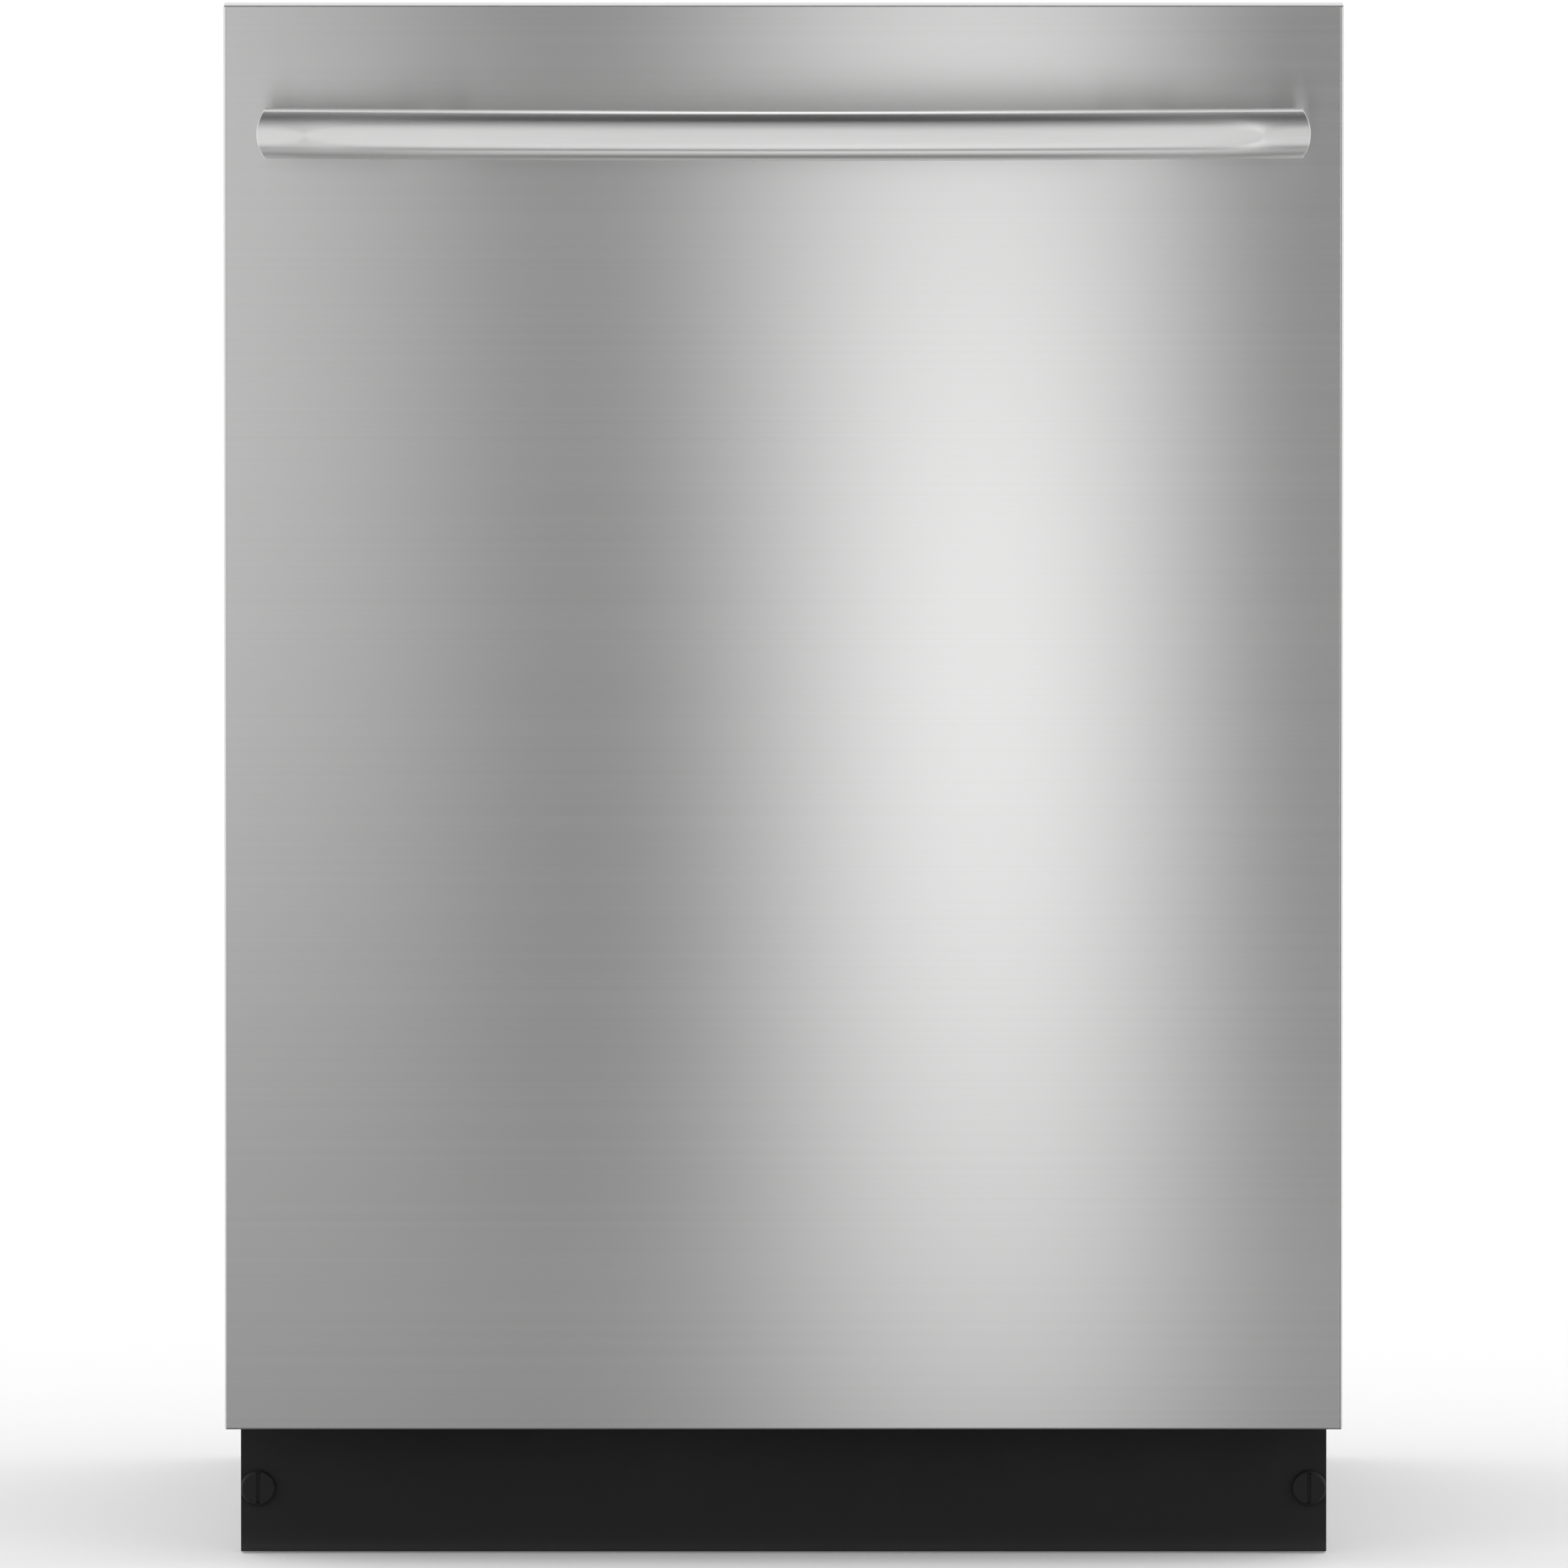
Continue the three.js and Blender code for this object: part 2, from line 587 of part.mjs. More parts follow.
function tubBack() {
  const half = tubInside - GAP;
  return box(-half, half, tubBackFace, tubRear - GAP, trackZ + GAP, tubTop - SHEET - GAP);
}

const trackInner = tubInside - TRACK_WIDTH;
const floorHalf = trackInner - TRACK_SLOPE;

// The liner's lower corner swings up past the front of the floor as the door opens.
const cornerSwing = Math.hypot(DOOR_DEPTH - HINGE_Y, hingeZ - linerBottom);
const swingDepth = HINGE_Y + Math.sqrt(cornerSwing ** 2 - (floorZ - SHEET - hingeZ) ** 2);
const floorFront = Math.max(tubFront + SHEET + GAP, swingDepth + RUNNING_GAP);

function tubFloor() {
  const wide = tubInside - GAP;
  const line = [[wide, trackZ], [trackInner, trackZ], [floorHalf, floorZ], [-floorHalf, floorZ],
    [-trackInner, trackZ], [-wide, trackZ]];
  const pan = prismY(bentSheet(line, SHEET), floorFront, tubBackFace - GAP);
  const frontLip = box(-trackInner, trackInner, floorFront, floorFront + SHEET, floorZ - SHEET, trackZ);
  const rearLip = box(-trackInner, trackInner, tubBackFace - GAP - SHEET, tubBackFace - GAP,
    floorZ - SHEET, trackZ);
  const drain = rodZ(sumpR - 2 * SUMP_WALL, floorZ - 2 * SHEET, floorZ + SHEET, 0, centreY, 32);
  return cut(join(pan, frontLip, rearLip), drain);
}

function gasket() {
  const inner = tubInside + GAP;
  const outer = linerHalf;
  const top = linerTop - GAP;
  const low = trackZ + GAP;
  const ring = outline([[-outer, low], [-outer, top], [outer, top], [outer, low],
    [inner, low], [inner, tubTop], [-inner, tubTop], [-inner, low]]);
  return prismY(ring, DOOR_DEPTH + GAP, tubFront - GAP);
}

function soundBlanket() {
  const inner = tubHalf + GAP;
  const outer = inner + BLANKET;
  const low = trackZ + BLANKET;
  const roof = tubTop + GAP;
  const wrap = outline([[-outer, low], [-outer, roof + BLANKET], [outer, roof + BLANKET], [outer, low],
    [inner, low], [inner, roof], [-inner, roof], [-inner, low]]);
  return prismY(wrap, floorFront + BLANKET, tubRear - BLANKET);
}

function counterBracket(side) {
  const front = tubFront + SHEET + GAP;
  const foot = tubTop + GAP + BLANKET + GAP;
  const top = HEIGHT - FLANGE_TOP_DROP;
  const section = outline([[front, foot], [front + BRACKET_SHEET, foot],
    [front + BRACKET_SHEET, top - BRACKET_SHEET], [front + BRACKET_WIDTH, top - BRACKET_SHEET],
    [front + BRACKET_WIDTH, top], [front, top]]);
  const angle = prismX(section, -BRACKET_LENGTH / 2, BRACKET_LENGTH / 2);
  const hole = rodZ(2.5, top - 2 * BRACKET_SHEET, top + 1, 0, front + BRACKET_WIDTH * 0.6);
  return cut(angle, hole).translate(side * tubHalf * 0.72, 0, 0);
}

// ---------- Base ----------
function baseFrame() {
  const wall = BASE_WALL;
  const ring = rectangle(-baseHalf, baseHalf, BASE_FRONT, BODY_DEPTH);
  ring.holes.push(rectangle(-baseHalf + wall, baseHalf - wall, BASE_FRONT + wall, BODY_DEPTH - wall));
  const frame = [prismZ(ring, BASE_CLEAR, baseTop)];
  const cuts = [];
  for (const [, side] of SIDES) {
    for (const y of legYs()) {
      const pad = PAD_SIZE / 2;
      frame.push(box(side * legX - pad - 1, side * legX + pad + 1, y - pad, y + pad,
        BASE_CLEAR, BASE_CLEAR + PAD_THICKNESS));
      cuts.push(rodZ(LEG_R + RUNNING_GAP, 0, BASE_CLEAR + 2 * PAD_THICKNESS, side * legX, y));
    }
    frame.push(toeBracket(side), hingeEar(side));
    cuts.push(rodY(FASTENER_SHANK_R + RUNNING_GAP, TOE_RECESS, BASE_FRONT, side * fastenerX, FASTENER_Z));
  }
  frame.push(rodY(DRAIN_PORT_R, tubRear, BODY_DEPTH, DRAIN_PORT_X, DRAIN_PORT_Z, 20));
  cuts.push(rodY(HOSE_R + RUNNING_GAP, tubRear - 1, BODY_DEPTH + 1, DRAIN_PORT_X, DRAIN_PORT_Z));
  cuts.push(accessWindow(BASE_FRONT - 1, BASE_FRONT + wall + 1));
  cuts.push(box(-trackInner - 1, trackInner + 1, BASE_FRONT - 1, BODY_DEPTH + 1, sumpTop, trackZ));
  return cut(join(...frame), ...cuts);
}

const DRAIN_PORT_X = -200;
const DRAIN_PORT_Z = 62;
const DRAIN_PORT_R = 12;
const ACCESS_MARGIN = 40;
const ACCESS_LOW = 34;
const ACCESS_HIGH = 118;

function accessWindow(y0, y1) {
  const half = baseHalf - ACCESS_MARGIN;
  return box(-half, half, y0, y1, ACCESS_LOW, ACCESS_HIGH);
}

function legYs() {
  const inset = BASE_WALL + PAD_SIZE / 2 - 1;
  return [BASE_FRONT + inset, BODY_DEPTH - inset];
}

function toeBracket(side) {
  const outer = fastenerX + FASTENER_R;
  const block = box(fastenerX - FASTENER_R, outer, TOE_RECESS + TOE_SHEET + GAP, BASE_FRONT + 1,
    FASTENER_Z - 2 * FASTENER_SHANK_R - 4, FASTENER_Z + 2 * FASTENER_SHANK_R + 4);
  return mirrorX(block, side);
}

// The plate beside each hinge arm that carries its pin.
function hingeEar(side) {
  const rear = BASE_FRONT + PAD_SIZE / 2;
  const low = hingeZ - 4;
  const high = hingeZ + HINGE_EYE_R;
  const plate = prismX(outline([[HINGE_Y, low], [rear, low], [rear, high + 6], [HINGE_Y, high]]),
    earInner, earOuter);
  const eye = rodX(HINGE_EYE_R, earInner, earOuter, HINGE_Y, hingeZ, 20);
  const web = box(baseHalf - 1, earInner + 1, rear - PAD_THICKNESS, rear, low, high + 6);
  const pinHole = rodX(HINGE_PIN_R + RUNNING_GAP, earInner - 1, earOuter + 1, HINGE_Y, hingeZ);
  return mirrorX(cut(join(plate, eye, web), pinHole), side);
}

function leg() {
  return turned([[0, 0], [FOOT_R - 2, 0], [FOOT_R, 2], [FOOT_R, FOOT_HEIGHT - 2], [LEG_R + 3, FOOT_HEIGHT],
    [LEG_R, FOOT_HEIGHT], [LEG_R, LEG_TOP], [0, LEG_TOP]], 14);
}

function toeKick() {
  const half = halfWidth - TOE_INSET;
  const front = TOE_RECESS;
  const rear = front + TOE_FOLD;
  const wall = TOE_SHEET;
  const section = outline([[front, TOE_CLEAR], [rear, TOE_CLEAR], [rear, TOE_CLEAR + wall],
    [front + wall, TOE_CLEAR + wall], [front + wall, TOE_TOP - wall], [rear, TOE_TOP - wall],
    [rear, TOE_TOP], [front, TOE_TOP]]);
  const holes = SIDES.map(([, side]) => rodY(FASTENER_SHANK_R + RUNNING_GAP, front - 1, rear,
    side * fastenerX, FASTENER_Z));
  return cut(prismX(section, -half, half), ...holes);
}

// A quarter-turn fastener: slotted head in front of the toe kick, shank into the base.
function toeFastener() {
  const head = turned([[0, 0], [FASTENER_R, 0], [FASTENER_R, FASTENER_PROUD - 1],
    [FASTENER_R - 1, FASTENER_PROUD], [0, FASTENER_PROUD]], 28).rotateX(Math.PI / 2);
  const shank = rodY(FASTENER_SHANK_R, -1, BASE_FRONT - TOE_RECESS - 2, 0, 0);
  const slot = box(-SLOT_WIDTH / 2, SLOT_WIDTH / 2, -FASTENER_PROUD - 1, -FASTENER_PROUD + SLOT_DEPTH,
    -SLOT_LENGTH / 2, SLOT_LENGTH / 2);
  return cut(join(head, shank), slot);
}

function accessPanel() {
  const half = baseHalf - ACCESS_MARGIN + 6;
  const rear = BASE_FRONT - GAP;
  const plate = box(-half, half, rear - SHEET, rear, ACCESS_LOW - 8, ACCESS_HIGH - 38);
  const fold = box(-half, half, rear - TOE_FOLD / 2, rear, ACCESS_HIGH - 39, ACCESS_HIGH - 38);
  return join(plate, fold);
}

// ---------- Water system ----------
const sumpTop = floorZ - SHEET - GAP;
const motorZ = sumpTop - SUMP_WALL - MOTOR_CLEAR - MOTOR_R;

function sumpHousing() {
  const inner = sumpR - SUMP_WALL;
  const bowl = turned([[0, SUMP_BOTTOM], [sumpR - 12, SUMP_BOTTOM], [sumpR, SUMP_BOTTOM + 12],
    [sumpR, sumpTop - SUMP_WALL], [sumpR + SUMP_FLANGE, sumpTop - SUMP_WALL],
    [sumpR + SUMP_FLANGE, sumpTop], [inner, sumpTop], [inner, SUMP_BOTTOM + 14],
    [sumpR - 14, SUMP_BOTTOM + SUMP_WALL], [0, SUMP_BOTTOM + SUMP_WALL]], 32);
  const washPort = rodX(IMPELLER_R * 0.6, sumpR / 2, sumpR + 1, 0, motorZ);
  const drainPort = rodX(DRAIN_PUMP_R * 0.5, -sumpR - 1, -sumpR / 2, 0, motorZ);
  return cut(bowl, washPort, drainPort);
}

function filterPlate() {
  const low = floorZ + GAP;
  const sheet = rodZ(sumpR + PLATE_LAP, low, low + SHEET, 0, 0, 40);
  const seat = rodZ(FILTER_R + RUNNING_GAP, low - 1, low + 2 * SHEET, 0, -filterOffset, 24);
  const pedestal = rodZ(PEDESTAL_R, low, floorZ + LOWER_ARM_LIFT + ARM_THICKNESS - ARM_HUB_WALL, 0, 0, 20);
  return join(cut(sheet, seat), pedestal);
}

function filterCup() {
  const inner = FILTER_R - 2;
  const seat = floorZ + SHEET + 2 * GAP;
  const low = seat - FILTER_DEPTH;
  const cup = turned([[0, low], [FILTER_R, low], [FILTER_R, seat], [FILTER_R + FILTER_FLANGE, seat],
    [FILTER_R + FILTER_FLANGE, seat + 2], [inner, seat + 2], [inner, low + 2], [0, low + 2]], 24);
  const grip = box(-FILTER_R, FILTER_R, -3, 3, seat + 1, seat + 9);
  return join(cup, grip);
}

function washPump() {
  const mouth = sumpR + GAP;
  const volute = rodX(MOTOR_R, mouth, mouth + VOLUTE_DEPTH, 0, motorZ, 24);
  const room = rodX(MOTOR_R - SUMP_WALL, mouth - 1, mouth + VOLUTE_DEPTH - SUMP_WALL, 0, motorZ, 24);
  const motor = rodX(MOTOR_R - 6, mouth + VOLUTE_DEPTH - 1, mouth + MOTOR_LENGTH, 0, motorZ, 24);
  const foot = box(mouth + 50, mouth + 80, -20, 20, BASE_CLEAR + 4, motorZ - MOTOR_R / 2);
  return join(cut(volute, room), motor, foot);
}

function washImpeller() {
  const hub = rodX(7, 4, VOLUTE_DEPTH - SUMP_WALL - 1, 0, 0);
  const plate = rodX(IMPELLER_R, VOLUTE_DEPTH - SUMP_WALL - 4, VOLUTE_DEPTH - SUMP_WALL - 2, 0, 0, 24);
  const vanes = [];
  for (let i = 0; i < 6; i += 1) {
    const vane = box(8, VOLUTE_DEPTH - SUMP_WALL - 3, -1, 1, 5, IMPELLER_R - 2);
    vanes.push(vane.rotateX((i * Math.PI) / 3));
  }
  return join(hub, plate, ...vanes);
}

const drainPumpX = -sumpR - GAP - DRAIN_PUMP_LENGTH;
const drainSpoutX = drainPumpX + 20;
const DRAIN_SPOUT = 44;

function drainPump() {
  const body = rodX(DRAIN_PUMP_R, drainPumpX, drainPumpX + DRAIN_PUMP_LENGTH, 0, motorZ, 20);
  const coil = box(drainPumpX - 24, drainPumpX + 1, -16, 16, motorZ - 16, motorZ + 16);
  const spout = rodY(HOSE_R, 10, DRAIN_SPOUT, drainSpoutX, motorZ);
  return join(body, coil, spout);
}

// The drain hose rises behind the tub to a high loop and drops to the port in the base.
function drainHose() {
  const behind = tubRear + (REAR_GAP - BASE_WALL) / 2;
  const peak = tubTop - HOSE_TOP_DROP;
  const start = centreY + DRAIN_SPOUT + GAP;
  return roundBar([[drainSpoutX, start, motorZ], [drainSpoutX, behind, motorZ], [drainSpoutX, behind, peak],
    [DRAIN_PORT_X, behind, peak], [DRAIN_PORT_X, behind, DRAIN_PORT_Z + DRAIN_PORT_R + GAP]],
  HOSE_R, 18, 52, 6);
}

function heater() {
  const z = floorZ + HEATER_LIFT + HEATER_R;
  const half = floorHalf - HEATER_MARGIN / 2;
  const front = -armReach + HEATER_MARGIN;
  const rear = armReach - HEATER_MARGIN;
  return roundBar([[30, rear, z], [half, rear, z], [half, front, z], [-half, front, z], [-half, rear, z],
    [-30, rear, z]], HEATER_R, 40, 44, 6);
}

// The feed tube climbs the back of the tub and runs under its roof to the top spray arm.
function feedTube() {
  const back = tubBackFace - FEED_R - 3;
  const roof = tubTop - SHEET - FEED_R - 3;
  const riser = roundBar([[0, back, floorZ + 2], [0, back, roof], [0, centreY - 1, roof]], FEED_R, 24, 26);
  const stub = rodZ(FEED_R - 1, tubTop - TOP_ARM_DROP + ARM_HUB_WALL + 1, roof, 0, centreY);
  return join(riser, stub);
}

function sprayArm(reach) {
  const half = ARM_WIDTH / 2;
  const blade = new THREE.Shape();
  blade.moveTo(-reach + half / 2, -half / 2);
  blade.lineTo(0, -half);
  blade.lineTo(reach - half / 2, -half / 2);
  blade.absarc(reach - half / 2, 0, half / 2, -Math.PI / 2, Math.PI / 2);
  blade.lineTo(0, half);
  blade.lineTo(-reach + half / 2, half / 2);
  blade.absarc(-reach + half / 2, 0, half / 2, Math.PI / 2, Math.PI * 1.5);
  return join(prismZ(blade, 0, ARM_THICKNESS), rodZ(ARM_HUB_R, -2, ARM_THICKNESS + 2, 0, 0, 24));
}

// The arm's hub has a blind socket that drops over its pedestal, or hangs from its stub.
function spinningArm(reach, socketR, fromBelow) {
  const arm = sprayArm(reach);
  const top = ARM_THICKNESS + 2;
  const socket = fromBelow
    ? rodZ(socketR, -3, ARM_THICKNESS - ARM_HUB_WALL + RUNNING_GAP, 0, 0, 20)
    : rodZ(socketR, ARM_HUB_WALL, top + 1, 0, 0, 20);
  return cut(arm, socket);
}

function inletValve() {
  const body = box(-18, 18, 0, 46, 0, 34);
  const elbow = rodY(9, -14, 1, 0, 17, 20);
  const coil = rodZ(12, 33, 56, 0, 26, 20);
  return join(body, elbow, coil);
}

function junctionBox() {
  const shell = box(-36, 36, 0, 60, 0, 44);
  const hollow = box(-34, 34, 2, 58, 2, 45);
  const knockout = rodY(11, -1, 3, 0, 22, 20);
  return cut(shell, hollow, knockout);
}

// ---------- Racks ----------
// A flat lattice: a plate from c0 to c1 with columns by rows of openings, bars between them.
function lattice(prism, a0, a1, b0, b1, columns, rows, c0, c1) {
  const pitchA = (a1 - a0 - RACK_BAR) / columns;
  const pitchB = (b1 - b0 - RACK_BAR) / rows;
  const openings = [];
  for (let i = 0; i < columns; i += 1) {
    for (let j = 0; j < rows; j += 1) {
      const a = a0 + RACK_BAR + i * pitchA;
      const b = b0 + RACK_BAR + j * pitchB;
      openings.push(prism(rectangle(a, a + pitchA - RACK_BAR, b, b + pitchB - RACK_BAR), c0 - 1, c1 + 1));
    }
  }
  return cut(prism(rectangle(a0, a1, b0, b1), c0, c1), ...openings);
}

function rackBasket(half, z, height) {
  const bar = RACK_BAR;
  const top = z + height;
  return [
    lattice(prismZ, -half, half, rackFront, rackRear, 5, 4, z, z + bar),
    lattice(prismY, -half, half, z, top, 5, 2, rackFront, rackFront + bar),
    lattice(prismY, -half, half, z, top, 5, 2, rackRear - bar, rackRear),
    lattice(prismX, rackFront, rackRear, z, top, 4, 2, -half, -half + bar),
    lattice(prismX, rackFront, rackRear, z, top, 4, 2, half - bar, half),
  ];
}

// Rows of tines standing on the rack's cross bars.
function tines(half, z, y0, y1, rows, columns) {
  const pieces = [];
  for (let i = 1; i < columns; i += 1) {
    const x = -half + (2 * half * i) / columns;
    for (let j = 0; j < rows; j += 1) {
      const y = y0 + ((y1 - y0) * (j + 0.5)) / rows;
      pieces.push(box(x - TINE_WIDTH / 2, x + TINE_WIDTH / 2, y - TINE_WIDTH / 2, y + TINE_WIDTH / 2,
        z, z + TINE_HEIGHT));
    }
  }
  return pieces;
}

function wheelYs() {
  return [['front', rackFront + WHEEL_SETBACK], ['rear', rackRear - WHEEL_SETBACK / 2]];
}

const wheelInner = lowerRackHalf + 6;

function lowerRack() {
  const pieces = rackBasket(lowerRackHalf, lowerRackZ, LOWER_RACK_HEIGHT);
  for (const [, side] of SIDES) {
    for (const [, y] of wheelYs()) {
      const inner = side > 0 ? lowerRackHalf - RACK_BAR : -lowerRackHalf;
      pieces.push(box(inner, inner + RACK_BAR, y - 8, y + 8, wheelZ - 7, lowerRackZ + 20));
      const reach = wheelInner + WHEEL_WIDTH + 2;
      pieces.push(mirrorX(rodX(AXLE_R, lowerRackHalf - 1, reach, y, wheelZ, 12), side));
    }
  }
  const bars = crossBars(lowerRackHalf, lowerRackZ, 4);
  return join(...pieces, ...bars, ...tines(lowerRackHalf, lowerRackZ, centreY, rackRear, 2, 8));
}

// Cross bars of the rack's floor that carry the tines.
function crossBars(half, z, count) {
  const bars = [];
  for (let j = 0; j < count / 2; j += 1) {
    const y = centreY + ((rackRear - centreY) * (j + 0.5)) / (count / 2);
    bars.push(box(-half + 1, half - 1, y - TINE_WIDTH / 2, y + TINE_WIDTH / 2, z + 0.5, z + RACK_BAR - 0.5));
  }
  return bars;
}

function upperRack() {
  const pieces = rackBasket(upperRackHalf, UPPER_RACK_Z, UPPER_RACK_HEIGHT);
  const railInner = tubInside - GAP - RAIL_SHEET - RUNNING_GAP;
  const tall = RAIL_HEIGHT / 2 - RAIL_SHEET - RUNNING_GAP;
  for (const [, side] of SIDES) {
    const runner = box(upperRackHalf - 1, railInner, rackFront + 1, rackRear - 1, railZ - tall, railZ + tall);
    pieces.push(mirrorX(runner, side));
  }
  const stub = rodZ(FEED_R, UPPER_RACK_Z - MID_ARM_DROP + ARM_HUB_WALL + 1, UPPER_RACK_Z + 2, 0, centreY);
  const cradle = box(-upperRackHalf + 1, upperRackHalf - 1, centreY - ARM_HUB_R, centreY + ARM_HUB_R,
    UPPER_RACK_Z + 0.5, UPPER_RACK_Z + RACK_BAR - 0.5);
  return join(...pieces, cradle, stub, ...crossBars(upperRackHalf, UPPER_RACK_Z, 4));
}

function rackWheel() {
  const inner = AXLE_R + RUNNING_GAP;
  const tyre = turned([[inner, 0], [WHEEL_R - 1, 0], [WHEEL_R, 1], [WHEEL_R, WHEEL_WIDTH - 1],
    [WHEEL_R - 1, WHEEL_WIDTH], [inner, WHEEL_WIDTH], [inner, 0]], 24);
  return tyre.rotateY(Math.PI / 2);
}

function rackRail(side) {
  const outer = tubInside - GAP;
  const inner = outer - RAIL_DEPTH;
  const tall = RAIL_HEIGHT / 2;
  const back = outer - RAIL_SHEET;
  const channel = outline([[inner, railZ - tall], [outer, railZ - tall], [outer, railZ + tall],
    [inner, railZ + tall], [inner, railZ + tall - RAIL_SHEET], [back, railZ + tall - RAIL_SHEET],
    [back, railZ - tall + RAIL_SHEET], [inner, railZ - tall + RAIL_SHEET]]);
  return mirrorX(prismY(channel, rackFront, rackRear), side);
}

function cutleryBasket() {
  const half = BASKET_WIDTH / 2;
  const shell = box(-half, half, 0, BASKET_DEPTH, 0, BASKET_HEIGHT);
  const pitch = (BASKET_WIDTH - BASKET_WALL) / BASKET_CELLS;
  const cells = [];
  for (let i = 0; i < BASKET_CELLS; i += 1) {
    const x = -half + BASKET_WALL + i * pitch;
    cells.push(box(x, x + pitch - BASKET_WALL, BASKET_WALL, BASKET_DEPTH - BASKET_WALL,
      BASKET_WALL, BASKET_HEIGHT + 1));
  }
  return cut(shell, ...cells);
}

// ---------- Door springs ----------
class Helix extends THREE.Curve {
  getPoint(t, target = new THREE.Vector3()) {
    const angle = t * SPRING_TURNS * Math.PI * 2;
    return target.set(SPRING_R * Math.cos(angle), t * SPRING_LENGTH, SPRING_R * Math.sin(angle));
  }
}

function doorSpring() {
  return alongPath(new Helix(), SPRING_WIRE_R, SPRING_TURNS * 8, 4);
}

// ---------- Assembly ----------
function buildDoor(door) {
  addPiece(door, 'door_outer_panel', outerPanel(), 'brushed');
  addPiece(door, 'door_inner_liner', innerLiner(), 'tubSteel');
  addPiece(door, 'control_console', controlConsole(), 'blackPlastic');
  addPiece(door, 'control_module', controlModule(), 'greyPlastic');
  KEY_NAMES.forEach((name, i) => addPiece(door, name, key(), 'blackPlastic', [keyX(i), keyY, consoleTop]));
  addPiece(door, 'handle_bar', handleBar(), 'handle', [0, 0, handleZ]);
  const padFront = SHEET + 2;
  addPiece(door, 'door_insulation', box(-linerHalf + 20, linerHalf - 20, padFront, padFront + INSULATION,
    hingeZ + 20, consoleBottom - 20), 'felt');
  addPiece(door, 'detergent_dispenser', dispenser(), 'greyPlastic');
  addPiece(door, 'dispenser_lid', dispenserLid(), 'greyPlastic', [cupX, faceY + GAP, dispenserMiddle]);
  addPiece(door, 'rinse_aid_cap', rinseCap(), 'blackPlastic', [capX, faceY, dispenserMiddle]);
  addPiece(door, 'latch_hook', latchHook(), 'zinc', [0, LATCH_PIVOT_Y, latchZ]);
  for (const [name, side] of SIDES) {
    addPiece(door, `handle_standoff_${name}`, handleStandoff(side), 'handle', [0, 0, handleZ]);
    addPiece(door, `hinge_arm_${name}`, hingeArm(side), 'zinc', [0, HINGE_Y, hingeZ]);
  }
}

function buildTub(tub) {
  addPiece(tub, 'tub_wrapper', tubWrapper(), 'tubSteel');
  addPiece(tub, 'tub_back', tubBack(), 'tubSteel');
  addPiece(tub, 'tub_floor', tubFloor(), 'tubSteel');
  addPiece(tub, 'tub_gasket', gasket(), 'rubber');
  addPiece(tub, 'latch_strike', latchStrike(), 'zinc');
  addPiece(tub, 'sound_blanket', soundBlanket(), 'felt');
  addPiece(tub, 'feed_tube', feedTube(), 'greyPlastic');
  const topArm = [0, centreY, tubTop - TOP_ARM_DROP];
  const socket = FEED_R + RUNNING_GAP;
  addPiece(tub, 'top_spray_arm', spinningArm(armReach * 0.8, socket, false), 'greyPlastic', topArm);
  for (const [name, side] of SIDES) {
    addPiece(tub, `counter_bracket_${name}`, counterBracket(side), 'zinc');
    addPiece(tub, `rack_rail_${name}`, rackRail(side), 'tubSteel');
  }
}

function buildWaterSystem(works) {
  const centre = [0, centreY, 0];
  addPiece(works, 'sump_housing', sumpHousing(), 'greyPlastic', centre);
  addPiece(works, 'filter_plate', filterPlate(), 'tubSteel', centre);
  addPiece(works, 'filter_cup', filterCup(), 'greyPlastic', [0, centreY - filterOffset, 0]);
  addPiece(works, 'wash_pump_motor', washPump(), 'whitePlastic', centre);
  addPiece(works, 'wash_impeller', washImpeller(), 'blackPlastic', [sumpR + GAP, centreY, motorZ]);
  addPiece(works, 'drain_pump', drainPump(), 'whitePlastic', centre);
  addPiece(works, 'drain_hose', drainHose(), 'rubber');
  addPiece(works, 'heating_element', heater(), 'zinc', centre);
  addPiece(works, 'lower_spray_arm', spinningArm(armReach, PEDESTAL_R + RUNNING_GAP, true), 'greyPlastic',
    [0, centreY, floorZ + LOWER_ARM_LIFT]);
  const serviceZ = ACCESS_LOW + 6;
  const serviceY = BASE_FRONT + 24;
  addPiece(works, 'water_inlet_valve', inletValve(), 'whitePlastic', [-baseHalf * 0.7, serviceY, serviceZ]);
  addPiece(works, 'junction_box', junctionBox(), 'zinc', [baseHalf * 0.7, serviceY, serviceZ]);
}

function buildBase(base) {
  addPiece(base, 'base_frame', baseFrame(), 'blackPaint');
  addPiece(base, 'toe_kick_panel', toeKick(), 'blackPaint');
  addPiece(base, 'access_panel', accessPanel(), 'zinc');
  for (const [name, side] of SIDES) {
    addPiece(base, `toe_fastener_${name}`, toeFastener(), 'blackPaint',
      [side * fastenerX, TOE_RECESS - GAP, FASTENER_Z]);
    const [frontY, rearY] = legYs();
    addPiece(base, `leg_front_${name}`, leg(), 'zinc', [side * legX, frontY, 0]);
    addPiece(base, `leg_rear_${name}`, leg(), 'zinc', [side * legX, rearY, 0]);
    const spring = addPiece(base, `door_spring_${name}`, doorSpring(), 'spring',
      [side * (baseHalf + SPRING_R + SPRING_WIRE_R + 1), BASE_FRONT + 2, hingeZ + LEVER_Z - 6]);
    spring.rotation.x = -0.18;
  }
}

